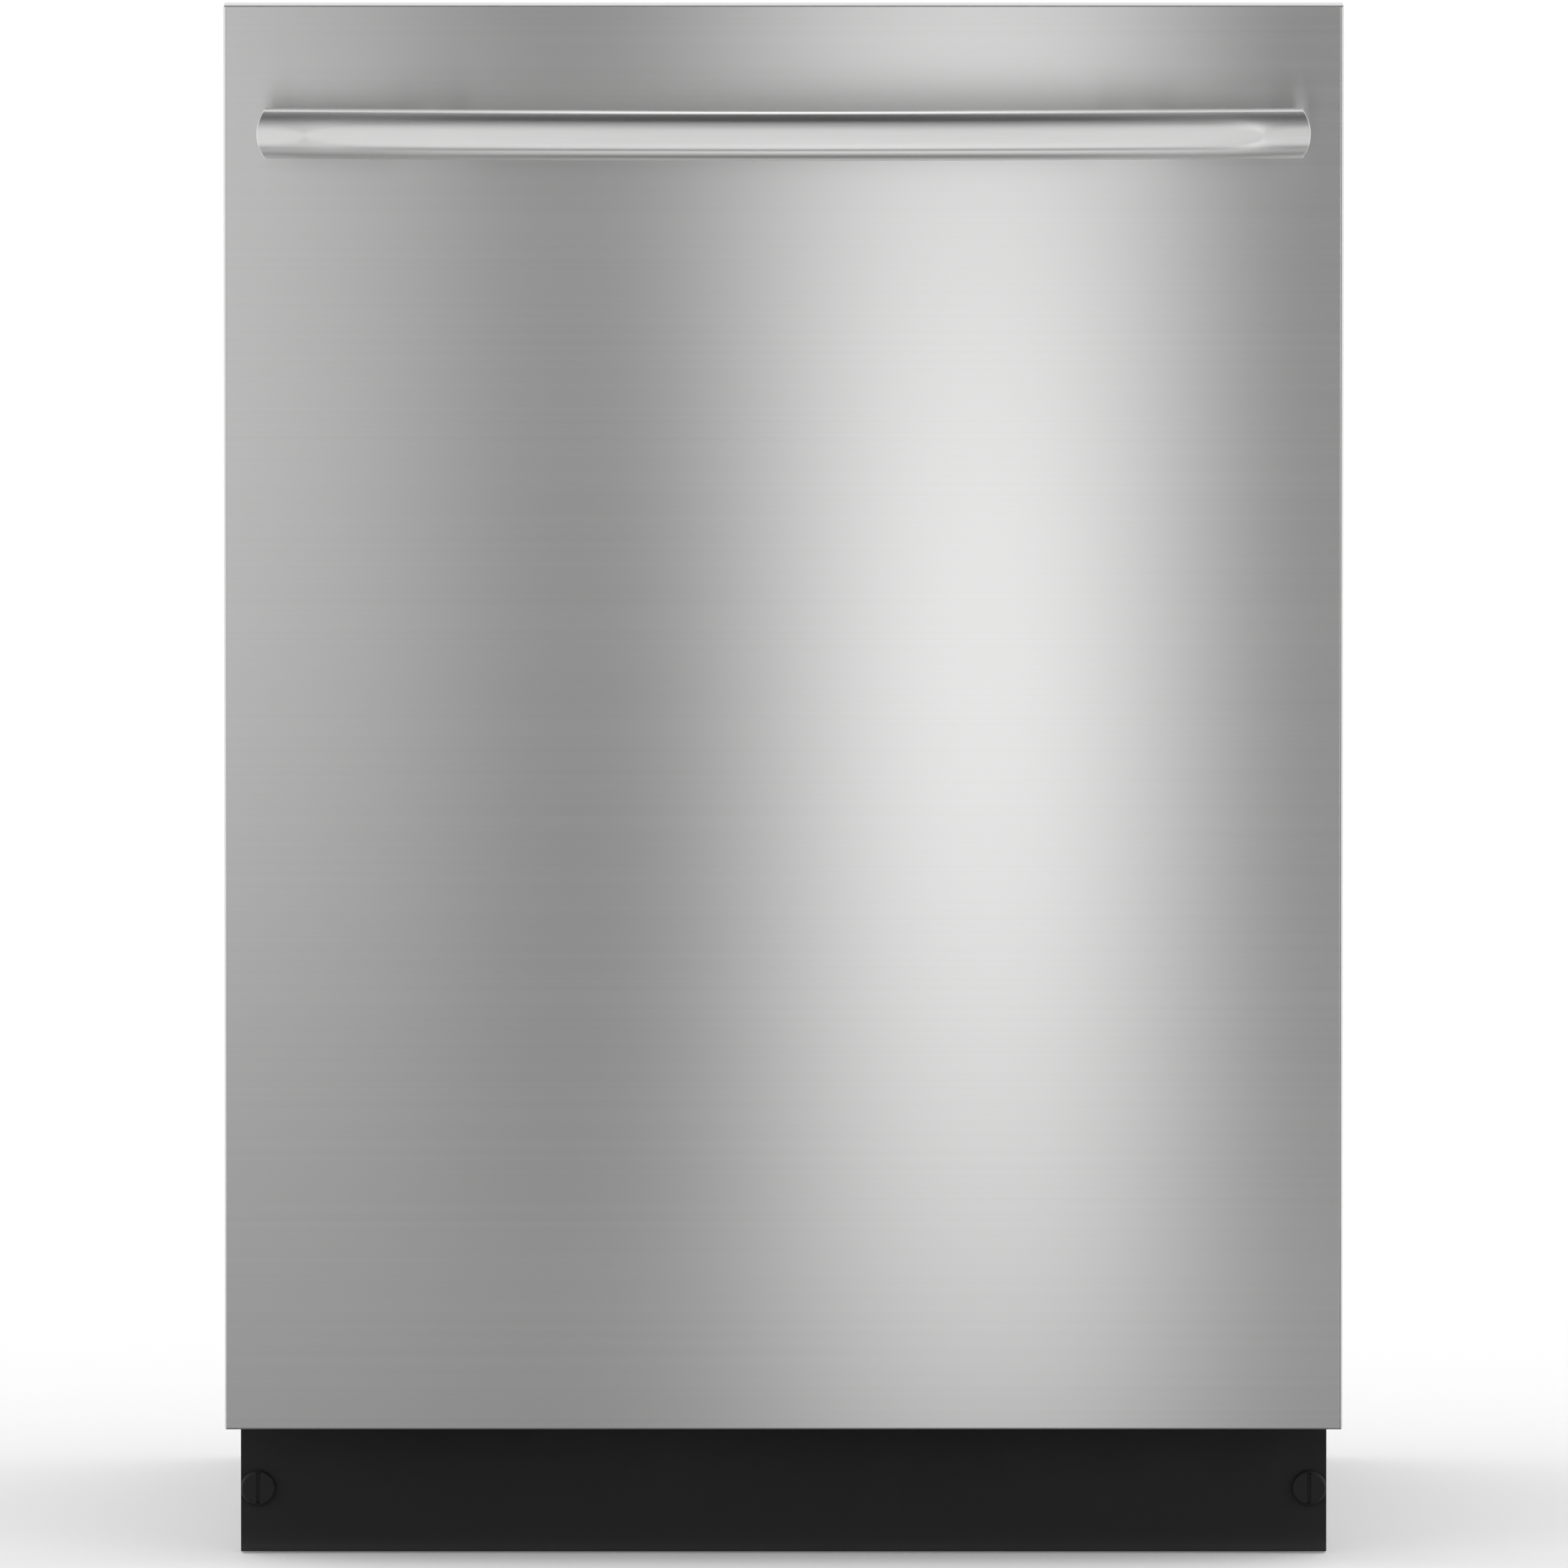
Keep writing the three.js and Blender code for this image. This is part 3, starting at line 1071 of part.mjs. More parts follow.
function buildRacks(racks) {
  addPiece(racks, 'lower_rack', lowerRack(), 'coatedWire');
  addPiece(racks, 'upper_rack', upperRack(), 'coatedWire');
  addPiece(racks, 'mid_spray_arm', spinningArm(armReach * 0.88, FEED_R + RUNNING_GAP, false), 'greyPlastic',
    [0, centreY, UPPER_RACK_Z - MID_ARM_DROP]);
  addPiece(racks, 'cutlery_basket', cutleryBasket(), 'greyPlastic',
    [0, rackFront + RACK_BAR + 5, lowerRackZ + RACK_BAR + GAP]);
  for (const [name, side] of SIDES) {
    for (const [end, y] of wheelYs()) {
      const x = side > 0 ? wheelInner : -wheelInner - WHEEL_WIDTH;
      addPiece(racks, `rack_wheel_${end}_${name}`, rackWheel(), 'greyPlastic', [x, y, wheelZ]);
    }
  }
}

const dishwasher = new THREE.Group();
dishwasher.position.y = (HANDLE_REACH - BODY_DEPTH) / 2;
for (const build of [buildDoor, buildTub, buildWaterSystem, buildBase, buildRacks]) {
  const group = new THREE.Group();
  build(group);
  dishwasher.add(group);
}

export default dishwasher;
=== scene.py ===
"""Built-in dishwasher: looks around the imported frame. Metres, +Z up, the door faces -Y."""
import json
import math
import random

import bmesh
import bpy
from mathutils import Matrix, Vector


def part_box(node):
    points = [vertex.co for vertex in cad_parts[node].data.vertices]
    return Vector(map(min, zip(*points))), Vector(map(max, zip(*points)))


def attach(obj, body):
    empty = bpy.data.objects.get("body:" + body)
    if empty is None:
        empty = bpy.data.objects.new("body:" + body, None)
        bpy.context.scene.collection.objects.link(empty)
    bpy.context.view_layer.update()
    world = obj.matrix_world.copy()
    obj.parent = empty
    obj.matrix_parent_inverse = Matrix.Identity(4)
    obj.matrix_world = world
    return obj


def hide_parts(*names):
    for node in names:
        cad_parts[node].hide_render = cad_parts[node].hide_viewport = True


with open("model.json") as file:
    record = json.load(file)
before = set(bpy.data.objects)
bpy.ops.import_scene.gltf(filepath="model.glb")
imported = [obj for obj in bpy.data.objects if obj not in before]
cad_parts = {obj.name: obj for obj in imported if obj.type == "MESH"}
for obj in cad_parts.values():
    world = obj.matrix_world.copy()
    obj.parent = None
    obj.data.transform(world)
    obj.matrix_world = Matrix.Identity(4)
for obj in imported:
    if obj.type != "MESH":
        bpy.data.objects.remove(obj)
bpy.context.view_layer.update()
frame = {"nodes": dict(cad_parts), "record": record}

MM = 0.001
random.seed(7)

# ---------- Camera ----------
CAMERA_DISTANCE = 20.0
CAMERA_PITCH = math.radians(4.55)     # the camera stands this far above the aim point's level
AIM_HEIGHT = 0.42515
AIM_X = 0.0002
LENS = 848.0


def make_camera():
    camera = bpy.data.objects.new("camera", bpy.data.cameras.new("camera"))
    bpy.context.scene.collection.objects.link(camera)
    aim = Vector((AIM_X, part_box("door_outer_panel")[0][1], AIM_HEIGHT))
    away = Vector((0, -math.cos(CAMERA_PITCH), math.sin(CAMERA_PITCH)))
    camera.location = aim + away * CAMERA_DISTANCE
    camera.rotation_euler = (math.pi / 2 - CAMERA_PITCH, 0, 0)
    camera.data.lens = LENS
    camera.data.sensor_width = 36
    camera.data.clip_start = 0.5
    camera.data.clip_end = 200
    bpy.context.scene.camera = camera


# ---------- Node helpers ----------
class Shader:
    """A material with a Principled surface and short calls for the nodes that feed it."""

    def __init__(self, name, colour, roughness, metallic=0.0):
        self.material = bpy.data.materials.new(name)
        self.material.use_nodes = True
        self.nodes = self.material.node_tree.nodes
        self.links = self.material.node_tree.links
        self.surface = self.nodes["Principled BSDF"]
        self.colour = colour
        self.surface.inputs["Base Color"].default_value = (*colour, 1)
        self.surface.inputs["Roughness"].default_value = roughness
        self.surface.inputs["Metallic"].default_value = metallic

    def place(self, scale):
        where = self.nodes.new("ShaderNodeTexCoord")
        mapping = self.nodes.new("ShaderNodeMapping")
        mapping.inputs["Scale"].default_value = scale
        self.links.new(where.outputs["Object"], mapping.inputs["Vector"])
        return mapping.outputs["Vector"]

    def noise(self, scale, detail=4.0, roughness=0.6):
        node = self.nodes.new("ShaderNodeTexNoise")
        node.inputs["Scale"].default_value = 1.0
        node.inputs["Detail"].default_value = detail
        node.inputs["Roughness"].default_value = roughness
        self.links.new(self.place(scale), node.inputs["Vector"])
        return node.outputs["Fac"]

    def cells(self, scale):
        node = self.nodes.new("ShaderNodeTexVoronoi")
        node.inputs["Scale"].default_value = 1.0
        self.links.new(self.place(scale), node.inputs["Vector"])
        return node.outputs["Color"]

    def spread(self, value, low, high):
        node = self.nodes.new("ShaderNodeMapRange")
        node.interpolation_type = "SMOOTHSTEP"
        node.inputs["From Min"].default_value = 0.25
        node.inputs["From Max"].default_value = 0.75
        node.inputs["To Min"].default_value = low
        node.inputs["To Max"].default_value = high
        self.links.new(value, node.inputs["Value"])
        return node.outputs["Result"]

    def vary_roughness(self, value, low, high):
        self.links.new(self.spread(value, low, high), self.surface.inputs["Roughness"])

    def vary_colour(self, value, low, high):
        node = self.nodes.new("ShaderNodeMix")
        node.data_type = "RGBA"
        node.inputs["A"].default_value = (*[c * low for c in self.colour], 1)
        node.inputs["B"].default_value = (*[c * high for c in self.colour], 1)
        self.links.new(self.spread(value, 0.0, 1.0), node.inputs["Factor"])
        self.links.new(node.outputs["Result"], self.surface.inputs["Base Color"])

    def bump(self, value, height, strength=1.0, rounding=0.0):
        node = self.nodes.new("ShaderNodeBump")
        node.inputs["Strength"].default_value = strength
        node.inputs["Distance"].default_value = height
        self.links.new(value, node.inputs["Height"])
        if rounding:
            bevel = self.nodes.new("ShaderNodeBevel")
            bevel.samples = 4
            bevel.inputs["Radius"].default_value = rounding
            self.links.new(bevel.outputs["Normal"], node.inputs["Normal"])
        self.links.new(node.outputs["Normal"], self.surface.inputs["Normal"])

    def stretch_gloss(self, axis, amount):
        """Highlights run out along the turn about this axis, as they do across a brushed grain."""
        node = self.nodes.new("ShaderNodeTangent")
        node.direction_type = "RADIAL"
        node.axis = axis
        self.links.new(node.outputs["Tangent"], self.surface.inputs["Tangent"])
        self.surface.inputs["Anisotropic"].default_value = amount


# ---------- Materials ----------
def brushed_steel(name, colour, roughness, stretch, grain=2600.0, turn="X"):
    """Fine grain along X and a few longer streaks."""
    shader = Shader(name, colour, roughness, 1.0)
    fine = shader.noise((6.0, grain, grain), detail=3.0)
    streaks = shader.noise((0.9, 420.0, 420.0), detail=2.0)
    shader.vary_colour(streaks, 0.985, 1.012)
    shader.vary_roughness(streaks, roughness * 0.985, roughness * 1.015)
    shader.bump(fine, 0.004 * MM, 0.35)
    shader.stretch_gloss(turn, stretch)
    return shader.material


def sheet_steel(name, colour, roughness):
    shader = Shader(name, colour, roughness, 1.0)
    clouds = shader.noise((5.0, 5.0, 5.0), detail=2.0)
    rolled = shader.noise((14.0, 420.0, 420.0), detail=3.0)
    shader.vary_colour(clouds, 0.98, 1.02)
    shader.vary_roughness(rolled, roughness * 0.94, roughness * 1.08)
    shader.bump(rolled, 0.006 * MM, 0.25, 0.5 * MM)
    return shader.material


def plated_steel(name, colour, roughness):
    """Zinc plating: faint crystals with slightly different brightness."""
    shader = Shader(name, colour, roughness, 1.0)
    crystals = shader.cells((420.0, 420.0, 420.0))
    grime = shader.noise((60.0, 60.0, 60.0), detail=5.0)
    shader.vary_colour(crystals, 0.9, 1.05)
    shader.vary_roughness(grime, roughness * 0.8, roughness * 1.3)
    shader.bump(grime, 0.02 * MM, 0.4, 0.4 * MM)
    return shader.material


def moulded(name, colour, roughness, texture=1500.0, height=0.03):
    shader = Shader(name, colour, roughness)
    pores = shader.noise((texture, texture, texture), detail=2.0)
    clouds = shader.noise((18.0, 18.0, 18.0), detail=4.0)
    shader.vary_colour(clouds, 0.93, 1.06)
    shader.vary_roughness(clouds, roughness * 0.88, roughness * 1.12)
    shader.bump(pores, height * MM, 0.5, 0.4 * MM)
    return shader.material


def matted_felt(name, colour):
    shader = Shader(name, colour, 0.95)
    fibres = shader.noise((900.0, 260.0, 900.0), detail=8.0, roughness=0.75)
    tufts = shader.noise((70.0, 70.0, 70.0), detail=6.0)
    shader.vary_colour(tufts, 0.7, 1.35)
    shader.bump(fibres, 0.5 * MM, 0.8)
    shader.surface.inputs["Sheen Weight"].default_value = 0.25
    return shader.material


MATERIALS = {
    "brushed_steel_front": brushed_steel("front_steel", (0.78, 0.78, 0.777), 0.28, 0.85),
    "handle_steel": brushed_steel("handle_steel", (0.98, 0.98, 0.975), 0.33, 0.8, 3200.0, "Z"),
    "tub_steel": sheet_steel("tub_steel", (0.62, 0.63, 0.64), 0.27),
    "plated_steel": plated_steel("plated_steel", (0.52, 0.53, 0.54), 0.38),
    "black_paint": moulded("black_paint", (0.009, 0.009, 0.0092), 0.62, 900.0, 0.02),
    "black_plastic": moulded("black_plastic", (0.014, 0.014, 0.015), 0.42),
    "grey_plastic": moulded("grey_plastic", (0.27, 0.285, 0.30), 0.42),
    "white_plastic": moulded("white_plastic", (0.62, 0.62, 0.60), 0.45),
    "coated_wire": moulded("coated_wire", (0.36, 0.38, 0.41), 0.35, 700.0, 0.05),
    "rubber": moulded("rubber", (0.02, 0.02, 0.021), 0.8, 600.0, 0.06),
    "felt": matted_felt("felt", (0.05, 0.05, 0.054)),
    "spring_steel": plated_steel("spring_steel", (0.45, 0.45, 0.46), 0.3),
}


# ---------- Piece helpers ----------
def body_of_node(node):
    for body, nodes in frame["record"]["behaviour"]["bodies"].items():
        if node in nodes:
            return body
    raise KeyError(node)


def slot_of_node(node):
    for part in frame["record"]["subparts"]:
        if part["node"] == node:
            return part["material_slot"]
    raise KeyError(node)


def finish_piece(piece, node, slot=None, replace=True):
    """The piece takes its body and finish from a CAD node, and usually stands for it."""
    slot = slot or slot_of_node(node)
    piece.data.materials.clear()
    piece.data.materials.append(MATERIALS[slot])
    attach(piece, body_of_node(node))
    if replace:
        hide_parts(node)
    return piece


def mesh_piece(name, verts, faces, smooth=True):
    data = bpy.data.meshes.new(name)
    data.from_pydata([tuple(v) for v in verts], [], faces)
    data.polygons.foreach_set("use_smooth", [smooth] * len(faces))
    data.update()
    piece = bpy.data.objects.new(name, data)
    bpy.context.scene.collection.objects.link(piece)
    return piece


def bmesh_piece(name, bm, smooth=True):
    bmesh.ops.recalc_face_normals(bm, faces=bm.faces)
    data = bpy.data.meshes.new(name)
    bm.to_mesh(data)
    bm.free()
    data.polygons.foreach_set("use_smooth", [smooth] * len(data.polygons))
    piece = bpy.data.objects.new(name, data)
    bpy.context.scene.collection.objects.link(piece)
    return piece


def soften(piece, width, segments=2, angle=35.0):
    """Rounds the piece's sharp edges by width."""
    weld = piece.modifiers.new("weld", "WELD")
    weld.merge_threshold = 0.01 * MM
    bevel = piece.modifiers.new("edges", "BEVEL")
    bevel.width = width
    bevel.segments = segments
    bevel.limit_method = "ANGLE"
    bevel.angle_limit = math.radians(angle)
    bevel.use_clamp_overlap = True
    bevel.harden_normals = False
    even_shading(piece)


def even_shading(piece):
    """Flat stretches keep their own normal right up to their rounded edges."""
    normals = piece.modifiers.new("normals", "WEIGHTED_NORMAL")
    normals.keep_sharp = True
    normals.weight = 100


def loft(name, rings, closed_ends=True, wrap=False, cap_last=False):
    """A skin over rings of equal length, each an ordered closed loop of points."""
    count = len(rings[0])
    verts = [point for ring in rings for point in ring]
    faces = []
    for i in range(len(rings) - 1):
        for j in range(count):
            k = (j + 1) % count
            faces.append((i * count + j, i * count + k, (i + 1) * count + k, (i + 1) * count + j))
    last = (len(rings) - 1) * count
    if wrap:
        for j in range(count):
            k = (j + 1) % count
            faces.append((last + j, last + k, k, j))
    elif closed_ends:
        faces.append(tuple(reversed(range(count))))
    if cap_last or closed_ends and not wrap:
        faces.append(tuple(last + j for j in range(count)))
    piece = mesh_piece(name, verts, faces)
    bm = bmesh.new()
    bm.from_mesh(piece.data)
    bmesh.ops.recalc_face_normals(bm, faces=bm.faces)
    bm.to_mesh(piece.data)
    bm.free()
    piece.data.set_sharp_from_angle(angle=math.radians(30))
    return piece


def wire_piece(name, runs, radius, sides=3):
    """Round wires along runs: (points, closed) pairs."""
    data = bpy.data.curves.new(name, "CURVE")
    data.dimensions = "3D"
    data.bevel_depth = radius
    data.bevel_resolution = sides
    data.use_fill_caps = True
    for points, closed in runs:
        spline = data.splines.new("POLY")
        spline.points.add(len(points) - 1)
        for target, point in zip(spline.points, points):
            target.co = (*point, 1)
        spline.use_cyclic_u = closed
        spline.use_smooth = True
    piece = bpy.data.objects.new(name, data)
    bpy.context.scene.collection.objects.link(piece)
    return piece


def rounded(points, radius, steps=4, closed=False):
    """The line through points with its corners turned as arcs."""
    line = []
    count = len(points)
    for i, point in enumerate(points):
        corner = Vector(point)
        if not closed and i in (0, count - 1):
            line.append(corner)
            continue
        before = Vector(points[i - 1]) - corner
        after = Vector(points[(i + 1) % count]) - corner
        start = corner + before.normalized() * min(radius, before.length / 2)
        end = corner + after.normalized() * min(radius, after.length / 2)
        for step in range(steps + 1):
            t = step / steps
            line.append(start * (1 - t) ** 2 + corner * 2 * t * (1 - t) + end * t ** 2)
    return line


def joined(name, parts):
    """Several shapes as one piece."""
    bm = bmesh.new()
    for part in parts:
        bm.from_mesh(part.data)
        bpy.data.objects.remove(part)
    piece = bmesh_piece(name, bm)
    piece.data.set_sharp_from_angle(angle=math.radians(30))
    return piece


def turned(name, profile, centre, axis="Z", sides=32, wrap=False):
    """A turned shape: (radius, height) pairs round an axis through centre."""
    rings = []
    for radius, height in profile:
        ring = []
        for i in range(sides):
            a = 2 * math.pi * i / sides
            u, v = radius * math.cos(a), radius * math.sin(a)
            offset = {"X": (height, u, v), "Y": (u, height, v), "Z": (u, v, height)}[axis]
            ring.append(Vector(centre) + Vector(offset))
        rings.append(ring)
    return loft(name, rings, wrap=wrap)


def bars(name, boxes):
    """Straight bars given as (x0, x1, y0, y1, z0, z1)."""
    bm = bmesh.new()
    for x0, x1, y0, y1, z0, z1 in boxes:
        made = bmesh.ops.create_cube(bm, size=1.0)
        for vert in made["verts"]:
            vert.co = Vector((x0 if vert.co.x < 0 else x1, y0 if vert.co.y < 0 else y1,
                              z0 if vert.co.z < 0 else z1))
    return bmesh_piece(name, bm, smooth=True)


def sweep(name, line, radius_at, sides=16):
    """A tube along a line of points; radius_at(length along it) gives its radius."""
    rings, travelled = [], 0.0
    normal = None
    for i, point in enumerate(line):
        onward = (line[min(i + 1, len(line) - 1)] - line[max(i - 1, 0)]).normalized()
        if normal is None:
            normal = onward.orthogonal().normalized()
        normal = (normal - onward * normal.dot(onward)).normalized()
        binormal = onward.cross(normal)
        if i:
            travelled += (point - line[i - 1]).length
        radius = radius_at(travelled)
        rings.append([point + normal * radius * math.cos(a) + binormal * radius * math.sin(a)
                      for a in (2 * math.pi * k / sides for k in range(sides))])
    return loft(name, rings)


def evenly(line, step):
    """The same line with points every step."""
    points, carried = [line[0]], 0.0
    for before, after in zip(line, line[1:]):
        length = (after - before).length
        place = step - carried
        while place < length:
            points.append(before.lerp(after, place / length))
            place += step
        carried = (carried + length) % step if length else carried
    return points


def rounded_rectangle(half, low, high, radius, corner_steps=5):
    """(x, z) points round a rectangle."""
    line = []
    corners = ((half - radius, low + radius, -90), (half - radius, high - radius, 0),
               (radius - half, high - radius, 90), (radius - half, low + radius, 180))
    for x, z, first in corners:
        for step in range(corner_steps + 1):
            a = math.radians(first + 90 * step / corner_steps)
            line.append((x + radius * math.cos(a), z + radius * math.sin(a)))
    return line


def arch_line(half, low, top, radius, step, mid_gap):
    """(x, z, inward x, inward z) from the left foot over the roof to the right foot."""
    rise, run = top - radius - low, half - radius - mid_gap
    ups, overs, turns = round(rise / step), round(run / step), 8
    line = [(-half, low + rise * i / ups, 1.0, 0.0) for i in range(ups)]
    for i in range(turns + 1):
        a = math.pi / 2 * i / turns
        line.append((radius - half - radius * math.cos(a), top - radius + radius * math.sin(a),
                     math.cos(a), -math.sin(a)))
    line += [(radius - half + run * i / overs, top, 0.0, -1.0) for i in range(1, overs + 1)]
    return line + [(-x, z, -nx, nz) for x, z, nx, nz in reversed(line)]


def pressed_sheet(piece, thickness):
    solid = piece.modifiers.new("sheet", "SOLIDIFY")
    solid.thickness = thickness
    solid.offset = 0
    even_shading(piece)
    return piece


def smooth_step(t):
    t = min(max(t, 0.0), 1.0)
    return t * t * (3 - 2 * t)


QUILT_STEP = 8 * MM
QUILT_SEAM = 0.3         # thickness left at a seam, as a share of the mat's
QUILT_PUFF = 0.62
QUILT_RUFFLE = 0.08
QUILT_FULLNESS = 0.35    # the lower, the flatter each cell's middle


def quilt(name, across, along, place, thickness, cell):
    """A stitched mat: place(u, v, lift) puts a point of it, lift standing off its back."""
    columns, rows = round(across / QUILT_STEP), round(along / QUILT_STEP)
    cells_u, cells_v = round(across / cell), round(along / cell)
    verts = []
    for side in (0, 1):
        for i in range(columns + 1):
            for j in range(rows + 1):
                u, v = i / columns, j / rows
                puff = abs(math.sin(math.pi * cells_u * u) * math.sin(math.pi * cells_v * v))
                puff = puff ** QUILT_FULLNESS
                lift = thickness * (QUILT_SEAM + QUILT_PUFF * puff + QUILT_RUFFLE * random.random() * puff)
                verts.append(place(u * across, v * along, lift * side))
    faces, sheet = [], (columns + 1) * (rows + 1)
    for i in range(columns):
        for j in range(rows):
            a, b = i * (rows + 1) + j, (i + 1) * (rows + 1) + j
            faces.append((a, a + 1, b + 1, b))
            faces.append((sheet + a, sheet + b, sheet + b + 1, sheet + a + 1))
    for i in range(columns):
        for j in (0, rows):
            a, b = i * (rows + 1) + j, (i + 1) * (rows + 1) + j
            faces.append((a, b, sheet + b, sheet + a) if j == 0 else (b, a, sheet + a, sheet + b))
    for j in range(rows):
        for i in (0, columns):
            a = i * (rows + 1) + j
            rim = (a + 1, a, sheet + a, sheet + a + 1) if i == 0 else (a, a + 1, sheet + a + 1, sheet + a)
            faces.append(rim)
    mat = mesh_piece(name, verts, faces)
    bm = bmesh.new()
    bm.from_mesh(mat.data)
    bmesh.ops.recalc_face_normals(bm, faces=bm.faces)
    bm.to_mesh(mat.data)
    bm.free()
    return mat


# ---------- Door panel ----------
def door_panel():
    """The folded front: rounded side bends, tighter top and bottom folds, open at the back."""
    low, high = (Vector(c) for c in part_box("door_outer_panel"))
    side_bend, fold_bend, sheet, arcs = 2.0 * MM, 1.0 * MM, 1.0 * MM, 6
    half, front, rear = high.x, low.y, high.y

    def plan(inset, bend):
        """One side's line in (x, y), from the rear of the fold round to the middle of the face."""
        turn = [(half - bend + math.cos(a) * (bend - inset), front + bend - math.sin(a) * (bend - inset))
                for a in (math.pi / 2 * i / arcs for i in range(arcs + 1))]
        return [(half - inset, rear)] + turn

    rows = []
    for inset in (0.0, sheet):
        side = plan(inset, side_bend)
        rows.append(side + [(-x, y) for x, y in reversed(side)])
    outer, inner = rows
    around = outer + inner[::-1]
    rings = [[(x, y, z) for x, y in around] for z in (low.z + fold_bend, high.z - fold_bend)]
    skin = loft("door_skin", rings)
    even_shading(skin)
    finish_piece(skin, "door_outer_panel")
    for name, z, way in (("door_top_fold", high.z, -1), ("door_bottom_fold", low.z, 1)):
        section = [(rear, z), (front + fold_bend, z)]
        section += [(front + fold_bend - math.sin(a) * fold_bend, z + way * fold_bend * (1 - math.cos(a)))
                    for a in (math.pi / 2 * i / arcs for i in range(1, arcs + 1))]
        section += [(front + sheet, z + way * fold_bend), (rear, z + way * fold_bend)]
        ends = [[(x, y, zz) for y, zz in section]
                for x in (-half + side_bend * 0.3, half - side_bend * 0.3)]
        fold = loft(name, ends)
        even_shading(fold)
        finish_piece(fold, "door_outer_panel", replace=False)


# ---------- Handle ----------
HANDLE_BOW = 22.5 * MM
HANDLE_DEPTH = 11 * MM
HANDLE_CROWN = 6 * MM
UPPER_ROUNDING = 3       # the front is flat in the middle and turns away at its edges,
LOWER_ROUNDING = 4       # later towards the lower one
HANDLE_LIP = 1.2 * MM
HANDLE_STATIONS = 96
HANDLE_ARCS = 28
END_BULGE = 4.5 * MM
END_POST = (13.5 * MM, 18 * MM)      # width and height
END_POST_INSET = 14 * MM


def handle_bar():
    low, high = (Vector(c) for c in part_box("handle_bar"))
    half, tall = high.x, (high.z - low.z) / 2
    middle = (high.z + low.z) / 2
    reach = low.y
    lip = HANDLE_LIP

    def bow(x):
        return HANDLE_BOW * (x / half) ** 2

    section = [(HANDLE_DEPTH, -tall + lip), (HANDLE_DEPTH, tall - lip), (HANDLE_DEPTH - lip, tall)]
    section += [(1.0 * MM + HANDLE_CROWN, tall)]
    for i in range(HANDLE_ARCS + 1):
        height = (tall - 0.9 * MM) * (1 - 2 * i / HANDLE_ARCS)
        rounding = UPPER_ROUNDING if height > 0 else LOWER_ROUNDING
        section.append((HANDLE_CROWN * abs(height / tall) ** rounding, height))
    section += [(0.6 * MM + HANDLE_CROWN, -tall), (HANDLE_DEPTH - lip, -tall)]
    rings = []
    for i in range(HANDLE_STATIONS + 1):
        along = 2 * i / HANDLE_STATIONS - 1
        ring = []
        for depth, height in section:
            end = half - END_BULGE * (height / tall) ** 2
            x = along * end
            ring.append((x, reach + bow(x) + depth, middle + height))
        rings.append(ring)
    bar = loft("handle_front_bar", rings)
    finish_piece(bar, "handle_bar")
    soften(bar, 0.35 * MM, 2, 50.0)
    for side, name in ((-1, "left"), (1, "right")):
        centre = side * (half - END_POST_INSET)
        post = post_block("handle_end_" + name, centre, *END_POST, middle,
                          lambda x: reach + bow(x) + HANDLE_DEPTH - 1 * MM)
        finish_piece(post, "handle_bar", replace=False)
        node = "handle_standoff_" + name
        lo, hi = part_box(node)
        block = post_block("handle_block_" + name, (lo[0] + hi[0]) / 2, hi[0] - lo[0], hi[2] - lo[2], middle,
                           lambda x: reach + bow(x) + HANDLE_DEPTH)
        finish_piece(block, node)


def post_block(name, centre, width, height, middle, front_at):
    """A rounded block from the door's face to the back of the bar."""
    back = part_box("handle_standoff_left")[1][1]
    rings = []
    steps = 8
    for i in range(steps + 1):
        x = centre + width * (i / steps - 0.5)
        rings.append([(x, back, middle - height / 2), (x, back, middle + height / 2),
                      (x, front_at(x), middle + height / 2), (x, front_at(x), middle - height / 2)])
    block = loft(name, rings)
    soften(block, 1.2 * MM, 3)
    return block


# ---------- Racks ----------
def spaced(low, high, count):
    return [low + (high - low) * i / (count - 1) for i in range(count)]


RACK_RIM = 3 * MM
RACK_WIRE = 1.6 * MM
RACK_BEND = 14 * MM
RACK_LOOP_CORNER = 20 * MM
RACK_RIM_CORNER = 24 * MM
FIRST_WIRE = 22 * MM     # outermost wires inside the rack's corners


def rack(node, half, floor, top, across, along, tine_rows):
    """A wire basket: U-shaped wires both ways, a thick rim, two middle loops and rows of tines."""
    low, high = (Vector(c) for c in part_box(node))
    front, rear = low.y + RACK_RIM, high.y - RACK_RIM
    base = floor + 2 * RACK_WIRE
    over = base + 2 * RACK_WIRE
    runs = []
    for y in spaced(front + FIRST_WIRE, rear - FIRST_WIRE, along):
        corners = [(-half, y, top), (-half, y, base), (half, y, base), (half, y, top)]
        runs.append((rounded(corners, RACK_BEND), False))
    for x in spaced(-half + FIRST_WIRE, half - FIRST_WIRE, across):
        corners = [(x, front, top), (x, front, over), (x, rear, over), (x, rear, top)]
        runs.append((rounded(corners, RACK_BEND), False))
    inset = 1.5 * RACK_WIRE
    for share in (0.33, 0.66):
        z = floor + (top - floor) * share
        corners = [(-half + inset, front + inset, z), (half - inset, front + inset, z),
                   (half - inset, rear - inset, z), (-half + inset, rear - inset, z)]
        runs.append((rounded(corners, RACK_LOOP_CORNER, 5, True), True))
    for x0, x1, y, count, height in tine_rows:
        for x in spaced(x0, x1, count):
            runs.append(([(x, y, base), (x, y, base + height * 0.55), (x, y - 3 * MM, base + height)], False))
    wires = wire_piece(node + "_wires", runs, RACK_WIRE)
    finish_piece(wires, node)
    z = top - RACK_RIM
    corners = [(-half, front, z), (half, front, z), (half, rear, z), (-half, rear, z)]
    loop = rounded(corners, RACK_RIM_CORNER, 8, True)
    rim = wire_piece(node + "_rim", [(loop, True)], RACK_RIM, 4)
    finish_piece(rim, node, replace=False)


